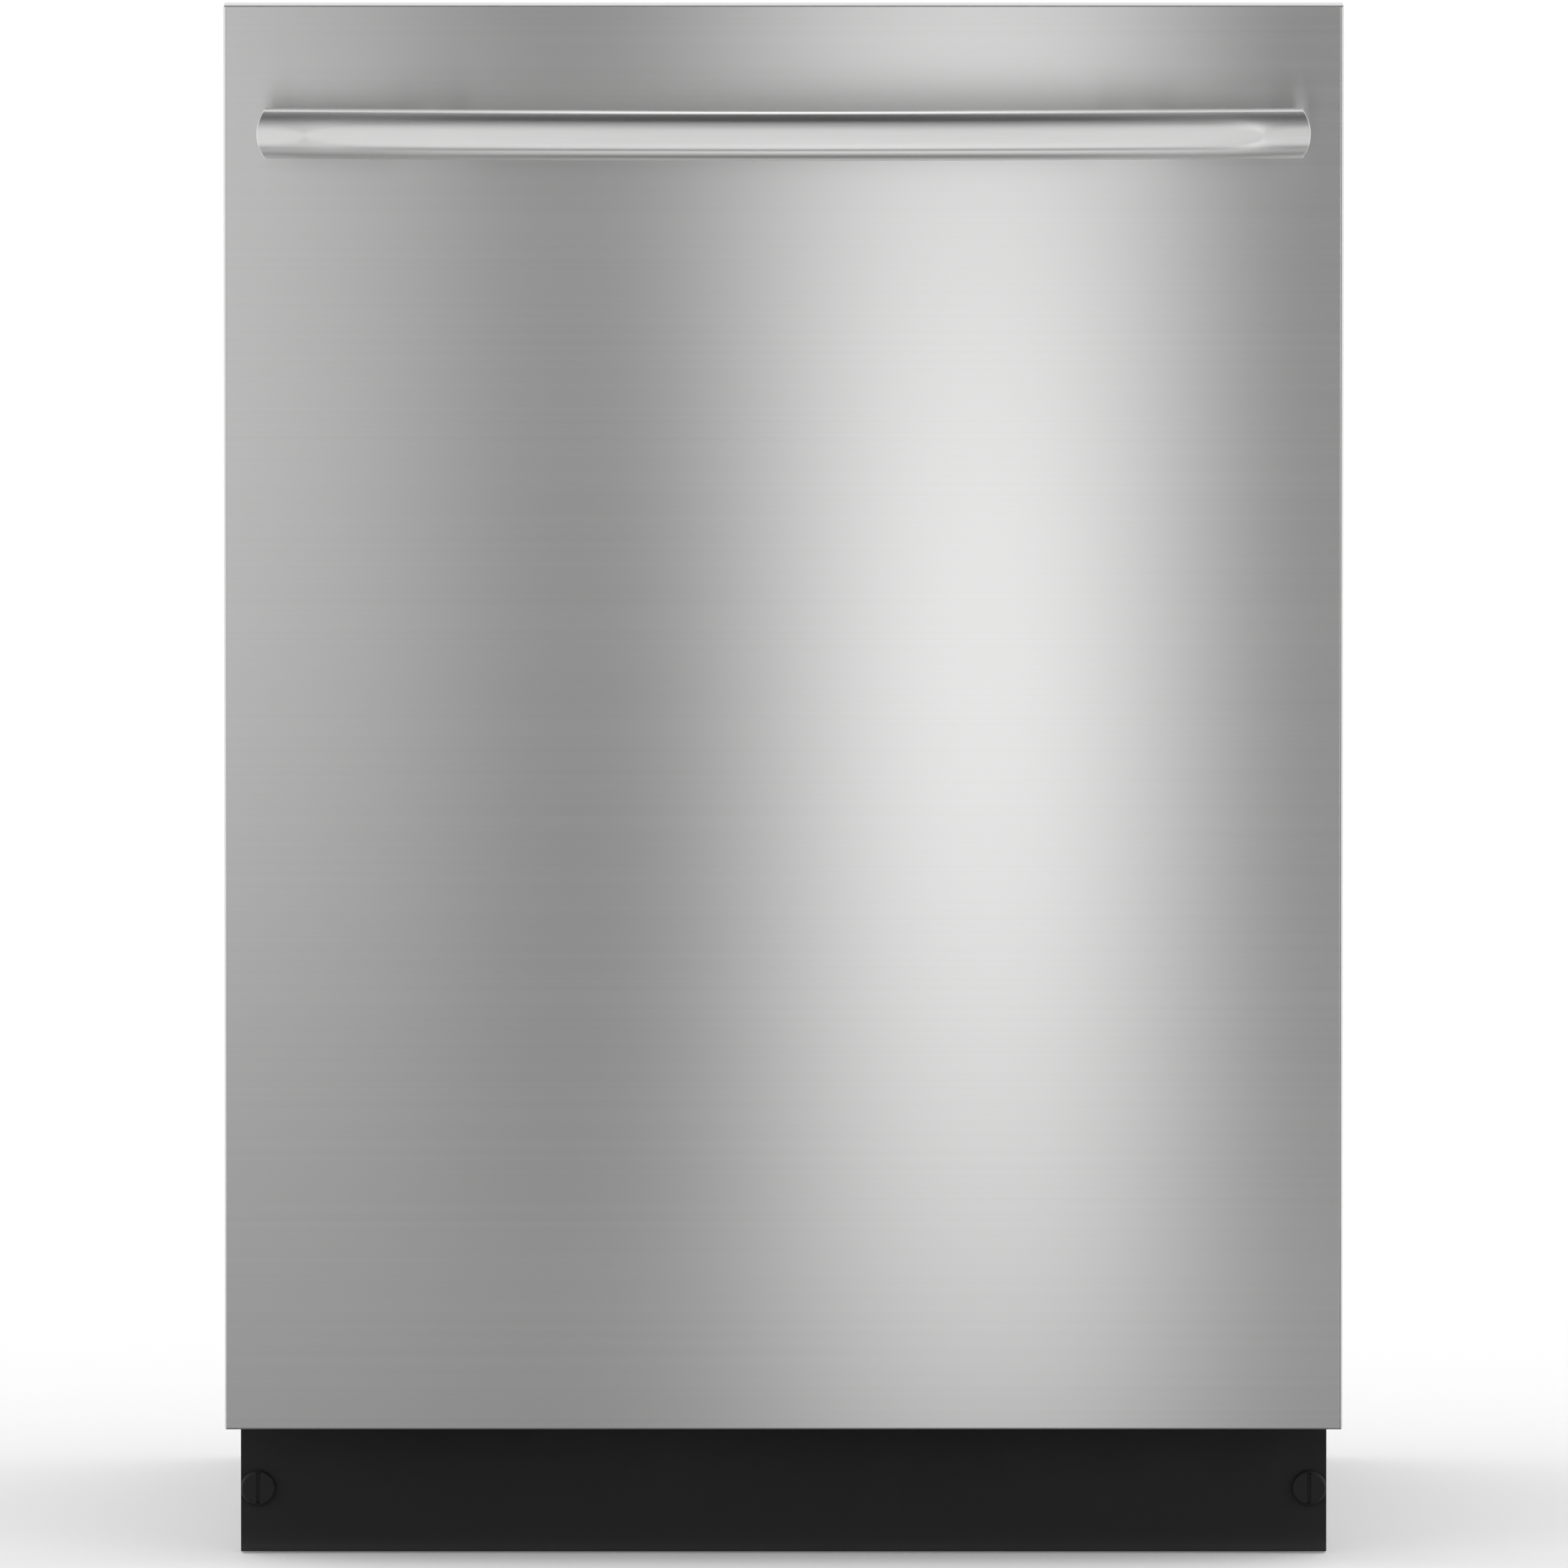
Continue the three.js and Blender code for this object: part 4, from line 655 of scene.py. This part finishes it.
PLATE_ROWS = (0.085, 0.135, 0.185, 0.235)
PLATE_TINE = 50 * MM
CUP_ROWS = (-0.1, 0.0, 0.1, 0.2)
CUP_TINE = 46 * MM
CUP_ROW_START = 60 * MM
CUP_ROW_LENGTH = 170 * MM
UPPER_RACK_DEPTH = 112 * MM


def racks():
    """The lower rack stands on its wheels, and the upper one hangs inside its rails."""
    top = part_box("lower_rack")[1][2]
    wheel_low, wheel_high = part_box("rack_wheel_front_right")
    half = wheel_low[0] - 9 * MM
    rows = [(-half + 30 * MM, half - 30 * MM, y, 15, PLATE_TINE) for y in PLATE_ROWS]
    rack("lower_rack", half, wheel_high[2] - 3 * MM, top, 15, 15, rows)
    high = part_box("upper_rack")[1]
    half = high[0] - 25 * MM
    start = -half + CUP_ROW_START
    rows = [(start, start + CUP_ROW_LENGTH, y, 6, CUP_TINE) for y in CUP_ROWS]
    rack("upper_rack", half, high[2] - UPPER_RACK_DEPTH, high[2], 17, 15, rows)


# ---------- Door's inside ----------
SHEET = 1 * MM
LINER_BEND = 4 * MM
LINER_CORNER = 5 * MM
LINER_TRACK = 42 * MM    # flat width that the rack wheels roll on
LINER_SLOPE = 12 * MM
LINER_PRESSING = 5 * MM


def door_liner():
    """A deep-drawn pan: folded rim, flat tracks for the rack wheels, and a shallow pressed panel."""
    low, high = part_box("door_inner_liner")
    hole_low, hole_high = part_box("detergent_dispenser")
    half, face = high[0] - SHEET / 2, high[1] - SHEET / 2

    def ring(inset, y, radius):
        line = rounded_rectangle(half - inset, low[2] + inset, high[2] - inset, radius)
        return [(x, y, z) for x, z in line]

    rings = [ring(0, low[1], LINER_CORNER)]
    for i in range(6):
        a = math.pi / 2 * i / 5
        rings.append(ring(LINER_BEND * (1 - math.cos(a)), face - LINER_BEND + LINER_BEND * math.sin(a),
                          LINER_CORNER))
    for i in range(9):
        share = i / 8
        y = face - LINER_PRESSING * smooth_step(share)
        rings.append(ring(LINER_TRACK + LINER_SLOPE * share, y, 24 * MM))
    rings.append([(x, face - LINER_PRESSING, z) for x, z in
                  rounded_rectangle(hole_high[0] + 0.3 * MM, hole_low[2], hole_high[2], 1 * MM)])
    liner = pressed_sheet(loft("door_liner", rings, closed_ends=False), SHEET)
    finish_piece(liner, "door_inner_liner")


def insulation_pad():
    low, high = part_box("door_insulation")
    thickness = high[1] - low[1]
    pad = quilt("door_insulation_pad", high[0] - low[0], high[2] - low[2],
                lambda u, v, lift: (low[0] + u, low[1] + lift, low[2] + v), thickness, 0.11)
    finish_piece(pad, "door_insulation")


# ---------- Tub ----------
TUB_CORNER = 25 * MM
TUB_STEP = 9 * MM
SIDE_RIBS = (0.24, 0.31, 0.38, 0.45, 0.66, 0.72)     # heights
ROOF_RIBS = (0.09, 0.17, 0.23)       # distances from the middle
RIB_HALF = 11 * MM
RIB_DEPTH = 1.6 * MM
RIB_END = 60 * MM        # ribs stop this far from the tub's ends
RIB_FADE = 20 * MM


def tub_line(offset, low, step, mid_gap):
    """The tub's arch, standing out from the middle of its sheet by offset."""
    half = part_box("rack_rail_right")[1][0] + 0.8 * MM + offset
    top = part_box("tub_back")[1][2] + 0.8 * MM + offset
    return arch_line(half, low, top, TUB_CORNER + offset, step, mid_gap)


def tub_shell():
    """The wrapper with round upper corners, pressed ribs and a front flange with the latch window."""
    low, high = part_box("tub_wrapper")
    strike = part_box("latch_strike")
    window, window_low, window_high = 8 * MM, strike[0][2] + 5 * MM, strike[1][2] - 5 * MM
    line = tub_line(0.0, low[2], TUB_STEP, window)
    front, rear, rows = low[1] + SHEET / 2, high[1], 58
    top = max(z for _, z, _, _ in line)
    centre_x, centre_z = -line[0][0] - TUB_CORNER, top - TUB_CORNER

    def flange_point(x, z, share):
        out_x, out_z = x, z
        if z <= centre_z:
            out_x = math.copysign(high[0], x)
        elif abs(x) <= centre_x:
            out_z = high[2]
        else:
            dx, dz = abs(x) - centre_x, z - centre_z
            reach = min((high[0] - centre_x) / dx, (high[2] - centre_z) / dz)
            out_x, out_z = math.copysign(centre_x + dx * reach, x), centre_z + dz * reach
        return (x + (out_x - x) * share, front, z + (out_z - z) * share)

    def rib(x, z, y):
        inside = smooth_step((y - front - RIB_END) / RIB_FADE) * smooth_step((rear - RIB_END - y) / RIB_FADE)
        lift = 0.0
        if z < centre_z:
            lift = max(1 - abs(z - middle) / RIB_HALF for middle in SIDE_RIBS)
        elif abs(x) < centre_x:
            lift = max(1 - abs(abs(x) - middle) / RIB_HALF for middle in ROOF_RIBS)
        return RIB_DEPTH * smooth_step(lift * 1.6) * inside

    tall = high[2] - top
    shares = [1.0, (window_high - top) / tall, (window_low - top) / tall]
    grid = [[flange_point(x, z, share) for x, z, _, _ in line] for share in shares]
    for i in range(rows + 1):
        y = front + (rear - front) * i / rows
        grid.append([(x + nx * rib(x, z, y), y, z + nz * rib(x, z, y)) for x, z, nx, nz in line])
    columns = len(line)
    middle = columns // 2 - 1
    faces = []
    for i in range(len(grid) - 1):
        for j in range(columns - 1):
            if not (i == 1 and j == middle):
                a = i * columns + j
                faces.append((a, a + 1, a + columns + 1, a + columns))
    shell = mesh_piece("tub_shell", [point for row in grid for point in row], faces)
    shell.data.set_sharp_from_angle(angle=math.radians(40))
    pressed_sheet(shell, SHEET)
    finish_piece(shell, "tub_wrapper")


# The back plate's pressing in mm, as (inset, lift, corner radius).
REAR_PRESSING = ((0, 0, 20), (36, 0, 20), (39, 0.9, 24), (42, 1.8, 24), (90, 1.8, 24), (93, 0.9, 24),
                 (96, 0, 24), (150, 0, 20), (153, 0.9, 20), (156, 1.8, 20))


def tub_rear():
    """The back plate with a pressed frame."""
    low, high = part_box("tub_back")
    y = (low[1] + high[1]) / 2
    rings = []
    for inset, lift, radius in REAR_PRESSING:
        rings.append([(x, y + lift * MM, z) for x, z in
                      rounded_rectangle(high[0] - inset * MM, low[2] + inset * MM, high[2] - inset * MM,
                                        radius * MM)])
    back = pressed_sheet(loft("tub_rear_plate", rings, closed_ends=False, cap_last=True), SHEET * 0.9)
    finish_piece(back, "tub_back")


def line_walker(line):
    """A call that gives (x, z, inward x, inward z) at a length along an arch line, and its length."""
    lengths = [0.0]
    for before, after in zip(line, line[1:]):
        lengths.append(lengths[-1] + math.hypot(after[0] - before[0], after[1] - before[1]))

    def at(length):
        i = 1
        while i < len(lengths) - 1 and lengths[i] < length:
            i += 1
        share = (length - lengths[i - 1]) / (lengths[i] - lengths[i - 1])
        return [a + (b - a) * share for a, b in zip(line[i - 1], line[i])]
    return at, lengths[-1]


def blanket():
    """The sound blanket: a stitched felt mat over the sides and the roof of the tub."""
    low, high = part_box("sound_blanket")
    at, length = line_walker(tub_line(0.8 * MM, low[2], TUB_STEP, 8 * MM))

    def place(u, v, lift):
        x, z, nx, nz = at(u)
        return (x - nx * lift, low[1] + v, z - nz * lift)

    mat = quilt("sound_blanket_mat", length, high[1] - low[1], place, 6 * MM, 0.12)
    finish_piece(mat, "sound_blanket")


def door_seal():
    """A rubber bead round the opening with a thin lip."""
    low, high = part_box("tub_gasket")
    y = (low[1] + high[1]) / 2
    half = high[0] - 3.4 * MM
    line = arch_line(half, low[2], high[2] - 6 * MM, 22 * MM, 20 * MM, 8 * MM)
    rings = []
    for x, z, nx, nz in line:
        ring = []
        for i in range(16):
            a = 2 * math.pi * i / 16
            out, deep = 3.3 * MM * math.cos(a), 1.6 * MM * math.sin(a)
            if math.cos(a) > 0.9:
                out -= 0.4 * MM
            ring.append((x + nx * out, y + deep, z + nz * out))
        rings.append(ring)
    seal = loft("door_seal", rings)
    finish_piece(seal, "tub_gasket")


# ---------- Water system ----------
def spray_arm(node, socket, sprays_up):
    """A hollow blade with a crowned section, round tips, a hub and a row of jets."""
    low, high = (Vector(c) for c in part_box(node))
    centre = (low + high) / 2
    reach, hub_radius, hub_lip = high.x, 19 * MM, 2 * MM
    wide, tip, tall = 21 * MM, 10.5 * MM, (high.z - low.z) / 2 - hub_lip
    stations, sides, square = 72, 24, 0.62
    rings = []
    for i in range(stations + 1):
        x = -math.cos(math.pi * i / stations) * (reach - 0.1 * MM)
        past = max(abs(x) - (reach - tip), 0.0) / tip
        width = (wide + (tip - wide) * min(abs(x) / (reach - tip), 1)) * math.sqrt(1 - past ** 2)
        height = tall * (1 - 0.75 * past ** 3)
        ring = []
        for k in range(sides):
            a = 2 * math.pi * k / sides
            c, d = math.cos(a), math.sin(a)
            ring.append((x, centre.y + width * math.copysign(abs(c) ** square, c),
                         centre.z + height * math.copysign(abs(d) ** square, d)))
        rings.append(ring)
    parts = [loft("blade", rings)]
    up = 1 if sprays_up else -1
    open_way = -1 if node == "lower_spray_arm" else 1
    lid = high.z - centre.z
    profile = [(0.1 * MM, -lid), (hub_radius - 2 * MM, -lid), (hub_radius, -lid + 2 * MM), (hub_radius, lid),
               (socket, lid), (socket, 6 * MM - lid), (0.1 * MM, 6 * MM - lid)]
    parts.append(turned("hub", [(r, h * open_way) for r, h in profile], centre))
    for side in (-1, 1):
        for i, share in enumerate((0.24, 0.38, 0.52, 0.66, 0.8, 0.92)):
            spot = centre + Vector((side * reach * share, side * (4 if i % 2 else -4) * MM, 0))
            jet = [(1.2 * MM, tall * 0.8), (4.4 * MM, tall * 0.8), (3.6 * MM, tall + 1.0 * MM),
                   (2.4 * MM, tall + 1.7 * MM), (1.2 * MM, tall + 1.7 * MM)]
            parts.append(turned("jet", [(r, h * up) for r, h in jet], spot, sides=16, wrap=True))
    arm = joined(node + "_moulding", parts)
    finish_piece(arm, node)


HOSE_RADIUS = 6 * MM
HOSE_BEND = 18 * MM
HOSE_PITCH = 4.2 * MM
HOSE_RIPPLE = 0.07       # share of the radius


def hose():
    """The corrugated drain hose, from the pump up to its high loop and down to the port."""
    low, high = (Vector(c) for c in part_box("drain_hose"))
    pump_low, pump_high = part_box("drain_pump")
    spout_x, port_x = pump_low[0] + 44 * MM, low.x + 5.2 * MM
    behind, peak = high.y - HOSE_RADIUS, high.z - 5.2 * MM
    level = (pump_low[2] + pump_high[2]) / 2
    route = [(spout_x, low.y, level), (spout_x, behind, level), (spout_x, behind, peak),
             (port_x, behind, peak), (port_x, behind, low.z)]
    line = evenly([Vector(p) for p in rounded(route, HOSE_BEND, 8)], HOSE_PITCH / 6)

    def radius_at(length):
        return HOSE_RADIUS * (1 - HOSE_RIPPLE + HOSE_RIPPLE * math.cos(2 * math.pi * length / HOSE_PITCH))

    finish_piece(sweep("drain_hose_tube", line, radius_at), "drain_hose")


def heater():
    """The sheathed element that loops over the tub floor."""
    low, high = (Vector(c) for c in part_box("heating_element"))
    radius = (high.z - low.z) / 2
    half, front, rear, z = high.x - radius, low.y + radius, high.y - radius, (low.z + high.z) / 2
    gap = 30 * MM
    loop = rounded([(gap, rear, z), (half, rear, z), (half, front, z), (-half, front, z), (-half, rear, z),
                    (-gap, rear, z)], 40 * MM, 10)
    element = wire_piece("heating_element_sheath", [(loop, False)], radius * 0.98, 5)
    finish_piece(element, "heating_element")


# ---------- Baskets, wheels, legs and springs ----------
def basket():
    """The cutlery basket: slatted walls, three dividers and a grid floor."""
    low, high = (Vector(c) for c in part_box("cutlery_basket"))
    wall, slat, pitch, rim = 2 * MM, 2.4 * MM, 7.4 * MM, 6 * MM
    boxes = []

    def fence(x0, x1, y0, y1):
        """A slatted wall between two corners, running along its longer side."""
        boxes.append((x0, x1, y0, y1, high.z - rim, high.z))
        boxes.append((x0, x1, y0, y1, low.z, low.z + rim))
        middle = (low.z + high.z) / 2
        boxes.append((x0, x1, y0, y1, middle - slat / 2, middle + slat / 2))
        length = max(x1 - x0, y1 - y0)
        for i in range(int(length / pitch) + 1):
            start = i * (length - slat) / int(length / pitch)
            if x1 - x0 > y1 - y0:
                boxes.append((x0 + start, x0 + start + slat, y0, y1, low.z + rim, high.z - rim))
            else:
                boxes.append((x0, x1, y0 + start, y0 + start + slat, low.z + rim, high.z - rim))

    fence(low.x, high.x, low.y, low.y + wall)
    fence(low.x, high.x, high.y - wall, high.y)
    cell = (high.x - low.x - wall) / 4
    for i in range(5):
        x = low.x + i * cell
        fence(x, x + wall, low.y + wall, high.y - wall)
    for x in spaced(low.x + pitch, high.x - pitch - slat, 28):
        boxes.append((x, x + slat, low.y + wall, high.y - wall, low.z, low.z + wall))
    for y in spaced(low.y + pitch, high.y - pitch - slat, 9):
        boxes.append((low.x + wall, high.x - wall, y, y + slat, low.z + 0.3 * MM, low.z + wall * 0.8))
    piece = bars("cutlery_basket_moulding", boxes)
    soften(piece, 0.4 * MM, 1)
    finish_piece(piece, "cutlery_basket")


def wheels():
    for end in ("front", "rear"):
        for side in ("left", "right"):
            node = "rack_wheel_" + end + "_" + side
            low, high = (Vector(c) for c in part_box(node))
            centre, wide = (low + high) / 2, (high.x - low.x) / 2
            radius, bore = (high.z - low.z) / 2, 3.5 * MM
            tyre = [(radius - 4.5 * MM, -wide), (radius - 1 * MM, -wide), (radius, -wide + 1 * MM),
                    (radius, -1 * MM), (radius - 0.8 * MM, 0), (radius, 1 * MM), (radius, wide - 1 * MM),
                    (radius - 1 * MM, wide), (radius - 4.5 * MM, wide)]
            hub = [(bore, -wide), (7 * MM, -wide), (7 * MM, wide), (bore, wide)]
            parts = [turned("tyre", tyre, centre, "X", 48, True), turned("hub", hub, centre, "X", 32, True)]
            for i in range(6):
                a = math.pi / 3 * i
                ring = []
                for reach in (6.5 * MM, radius - 4 * MM):
                    spoke = centre + Vector((0, math.cos(a), math.sin(a))) * reach
                    across = Vector((0, -math.sin(a), math.cos(a))) * 1.3 * MM
                    deep = Vector((wide - 2.5 * MM, 0, 0))
                    ring.append([spoke - across - deep, spoke + across - deep, spoke + across + deep,
                                 spoke - across + deep])
                parts.append(loft("spoke", ring))
            finish_piece(joined(node + "_moulding", parts), node)


# The foot's outline in mm, as (radius, height).
FOOT = ((13, 0), (15.4, 0.6), (16, 2), (16, 5.4), (14.6, 7), (9, 8.4), (7, 9))
STUD_RADIUS = 5 * MM
THREAD_PITCH = 1.75 * MM
THREAD_DEPTH = 0.8 * MM


def legs():
    for end in ("front", "rear"):
        for side in ("left", "right"):
            node = "leg_" + end + "_" + side
            low, high = (Vector(c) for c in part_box(node))
            centre = Vector(((low.x + high.x) / 2, (low.y + high.y) / 2, low.z))
            profile = [(radius * MM, height * MM) for radius, height in FOOT]
            top = high.z - low.z
            z = profile[-1][1]
            while z < top - THREAD_PITCH:
                profile += [(STUD_RADIUS, z + THREAD_PITCH * 0.25),
                            (STUD_RADIUS - THREAD_DEPTH, z + THREAD_PITCH * 0.75)]
                z += THREAD_PITCH
            profile.append((STUD_RADIUS - 1 * MM, top))
            nut = turned("nut", [(9.2 * MM, 9 * MM), (9.2 * MM, 15 * MM)], centre, sides=6)
            finish_piece(joined(node + "_screw", [turned("stud", profile, centre, sides=32), nut]), node)


SPRING_TURNS = 62


def springs():
    """The counterbalance springs: close coils with a straight tail at each end."""
    for side in ("left", "right"):
        node = "door_spring_" + side
        low, high = (Vector(c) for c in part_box(node))
        arm_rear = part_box("hinge_arm_" + side)[1][1]
        x, coil, wire = (low.x + high.x) / 2, 4.4 * MM, 0.9 * MM
        front = Vector((x, low.y + coil, high.z - coil - wire))
        rear = Vector((x, high.y - coil, low.z + coil + wire))
        axis = rear - front
        upward = Vector((1, 0, 0)).cross(axis).normalized()
        points = [Vector((x, arm_rear, front.z + 2 * MM))]
        steps = SPRING_TURNS * 12
        for i in range(steps + 1):
            t = i / steps
            radius = coil * smooth_step(min(t, 1 - t) * 40)
            a = 2 * math.pi * SPRING_TURNS * t
            points.append(front + axis * (0.04 + 0.92 * t) + Vector((1, 0, 0)) * radius * math.cos(a)
                          + upward * radius * math.sin(a))
        points.append(rear)
        finish_piece(wire_piece(node + "_coil", [(points, False)], wire, 2), node)


# ---------- Stage and light ----------
def grey_ramp(nodes, links, value, stops):
    """A smooth ramp of greys: (position, grey) pairs."""
    ramp = nodes.new("ShaderNodeValToRGB")
    ramp.color_ramp.interpolation = "CARDINAL"
    links.new(value, ramp.inputs["Fac"])
    elements = ramp.color_ramp.elements
    while len(elements) > 1:
        elements.remove(elements[0])
    elements[0].position = stops[0][0]
    elements[0].color = (*[stops[0][1]] * 3, 1)
    for position, grey in stops[1:]:
        elements.new(position).color = (*[grey] * 3, 1)
    return ramp.outputs["Color"]


def glow(name, rows, strength=1.0, onward="Z"):
    """A glowing card. rows are (share of the card, ramp along X) pairs, blended along onward."""
    material = bpy.data.materials.new(name)
    material.use_nodes = True
    nodes, links = material.node_tree.nodes, material.node_tree.links
    nodes.clear()
    output = nodes.new("ShaderNodeOutputMaterial")
    emission = nodes.new("ShaderNodeEmission")
    emission.inputs["Strength"].default_value = strength
    links.new(emission.outputs["Emission"], output.inputs["Surface"])
    where = nodes.new("ShaderNodeTexCoord")
    split = nodes.new("ShaderNodeSeparateXYZ")
    links.new(where.outputs["Generated"], split.inputs["Vector"])
    colour = grey_ramp(nodes, links, split.outputs["X"], rows[0][1])
    for (low, _), (high, stops) in zip(rows, rows[1:]):
        share = nodes.new("ShaderNodeMapRange")
        share.interpolation_type = "SMOOTHSTEP"
        share.inputs["From Min"].default_value = low
        share.inputs["From Max"].default_value = high
        links.new(split.outputs[onward], share.inputs["Value"])
        mix = nodes.new("ShaderNodeMix")
        mix.data_type = "RGBA"
        links.new(share.outputs["Result"], mix.inputs["Factor"])
        links.new(colour, mix.inputs["A"])
        links.new(grey_ramp(nodes, links, split.outputs["X"], stops), mix.inputs["B"])
        colour = mix.outputs["Result"]
    links.new(colour, emission.inputs["Color"])
    return material


def reflection_card(name, corners, material):
    """A card that only shows in reflections."""
    card = mesh_piece(name, corners, [(0, 1, 2, 3)], smooth=False)
    card.data.materials.append(material)
    card.visible_camera = False
    card.visible_diffuse = False
    card.visible_shadow = False
    card.visible_transmission = False
    card.visible_volume_scatter = False


CARD_Y = -1.35
CARD_HALF = 1.6
CARD_TOP = 2.2
CARD_GAIN = 2.0        # ramp greys are halved so that the brightest stays under 1


def across(*stops):
    """(x in metres, grey) pairs as ramp stops of the front card."""
    return [((x + CARD_HALF) / (2 * CARD_HALF), grey / CARD_GAIN) for x, grey in stops]


LOW_ROW = across((-1.6, 0.05), (-0.6, 0.08), (-0.25, 0.08), (-0.1, 0.06), (0.0, 0.2), (0.11, 0.5),
                 (0.18, 0.42), (0.3, 0.03), (0.42, 0.1), (1.6, 0.08))
MIDDLE_ROW = across((-1.6, 0.5), (-0.6, 0.75), (-0.45, 0.85), (-0.28, 0.72), (-0.2, 0.57), (-0.1, 0.18),
                    (-0.03, 0.52), (0.04, 1.35), (0.12, 1.75), (0.19, 1.35), (0.27, 0.3), (0.36, 0.15),
                    (0.45, 1.6), (0.53, 1.6), (0.64, 0.3), (1.6, 0.2))
HIGH_ROW = across((-1.6, 0.45), (-0.6, 0.65), (-0.45, 0.82), (-0.31, 0.78), (-0.22, 0.55), (-0.11, 0.22),
                  (-0.03, 0.62), (0.06, 0.92), (0.14, 0.98), (0.21, 0.7), (0.28, 0.12), (0.36, 0.08),
                  (0.45, 1.6), (0.53, 1.6), (0.64, 0.3), (1.6, 0.2))
FLOOR_ROW = across((-1.6, 0.3), (-0.6, 0.5), (-0.3, 0.55), (0.0, 0.85), (0.15, 1.0), (0.3, 0.8), (0.45, 0.8),
                   (0.6, 0.3), (1.6, 0.2))
DIM_ROW = across((-1.6, 0.25), (0.0, 0.34), (1.6, 0.25))
DARK_ROW = across((-1.6, 0.03), (1.6, 0.03))


def lighting():
    world = bpy.data.worlds.new("studio")
    bpy.context.scene.world = world
    world.use_nodes = True
    world.node_tree.nodes["Background"].inputs["Color"].default_value = (1, 1, 1, 1)
    world.node_tree.nodes["Background"].inputs["Strength"].default_value = 1.0
    front = glow("front_glow", [(0.0, LOW_ROW), (0.16, MIDDLE_ROW), (0.36, HIGH_ROW), (0.62, DIM_ROW),
                                (0.95, DARK_ROW)], CARD_GAIN)
    reflection_card("front_card", [(-CARD_HALF, CARD_Y, 0.0), (CARD_HALF, CARD_Y, 0.0),
                                   (CARD_HALF, CARD_Y, CARD_TOP), (-CARD_HALF, CARD_Y, CARD_TOP)], front)
    reflection_card("ceiling_card", [(-2.2, CARD_Y, CARD_TOP), (2.2, CARD_Y, CARD_TOP),
                                     (2.2, -0.2, CARD_TOP), (-2.2, -0.2, CARD_TOP)],
                    glow("ceiling_glow", [(0.0, [(0.0, 0.06), (1.0, 0.06)])]))
    reflection_card("floor_card", [(-CARD_HALF, CARD_Y, 0.004), (CARD_HALF, CARD_Y, 0.004),
                                   (CARD_HALF, -0.215, 0.004), (-CARD_HALF, -0.215, 0.004)],
                    glow("floor_glow", [(0.0, LOW_ROW), (0.35, FLOOR_ROW), (0.75, DIM_ROW), (1.0, DARK_ROW)],
                         CARD_GAIN, "Y"))


def floor():
    size = 30.0
    ground = mesh_piece("floor", [(-size, -size, 0), (size, -size, 0), (size, size, 0), (-size, size, 0)],
                        [(0, 1, 2, 3)], smooth=False)
    shader = Shader("floor_paint", (0.86, 0.86, 0.86), 0.7)
    shader.vary_colour(shader.noise((0.8, 0.8, 0.8)), 0.99, 1.0)
    shader.surface.inputs["Specular IOR Level"].default_value = 0.1
    shader.surface.inputs["Emission Color"].default_value = (1, 1, 1, 1)
    shader.surface.inputs["Emission Strength"].default_value = 0.17
    ground.data.materials.append(shader.material)


# ---------- CAD nodes that stay ----------
EDGE_WIDTH = 0.35 * MM
OTHER_WIDTHS = {"tub_floor": 0.0, "toe_kick_panel": 0.5 * MM, "rack_rail_left": 0.4 * MM,
                "rack_rail_right": 0.4 * MM}


def dress_cad_nodes():
    for node, piece in frame["nodes"].items():
        piece.data.materials.clear()
        piece.data.materials.append(MATERIALS[slot_of_node(node)])
        width = OTHER_WIDTHS.get(node, EDGE_WIDTH)
        if width:
            soften(piece, width)


make_camera()
dress_cad_nodes()
door_panel()
handle_bar()
door_liner()
insulation_pad()
tub_shell()
tub_rear()
blanket()
door_seal()
spray_arm("lower_spray_arm", 12.5 * MM, True)
spray_arm("mid_spray_arm", 8.5 * MM, True)
spray_arm("top_spray_arm", 8.5 * MM, False)
hose()
heater()
racks()
basket()
wheels()
legs()
springs()
floor()
lighting()
bpy.context.scene.view_settings.view_transform = "Standard"
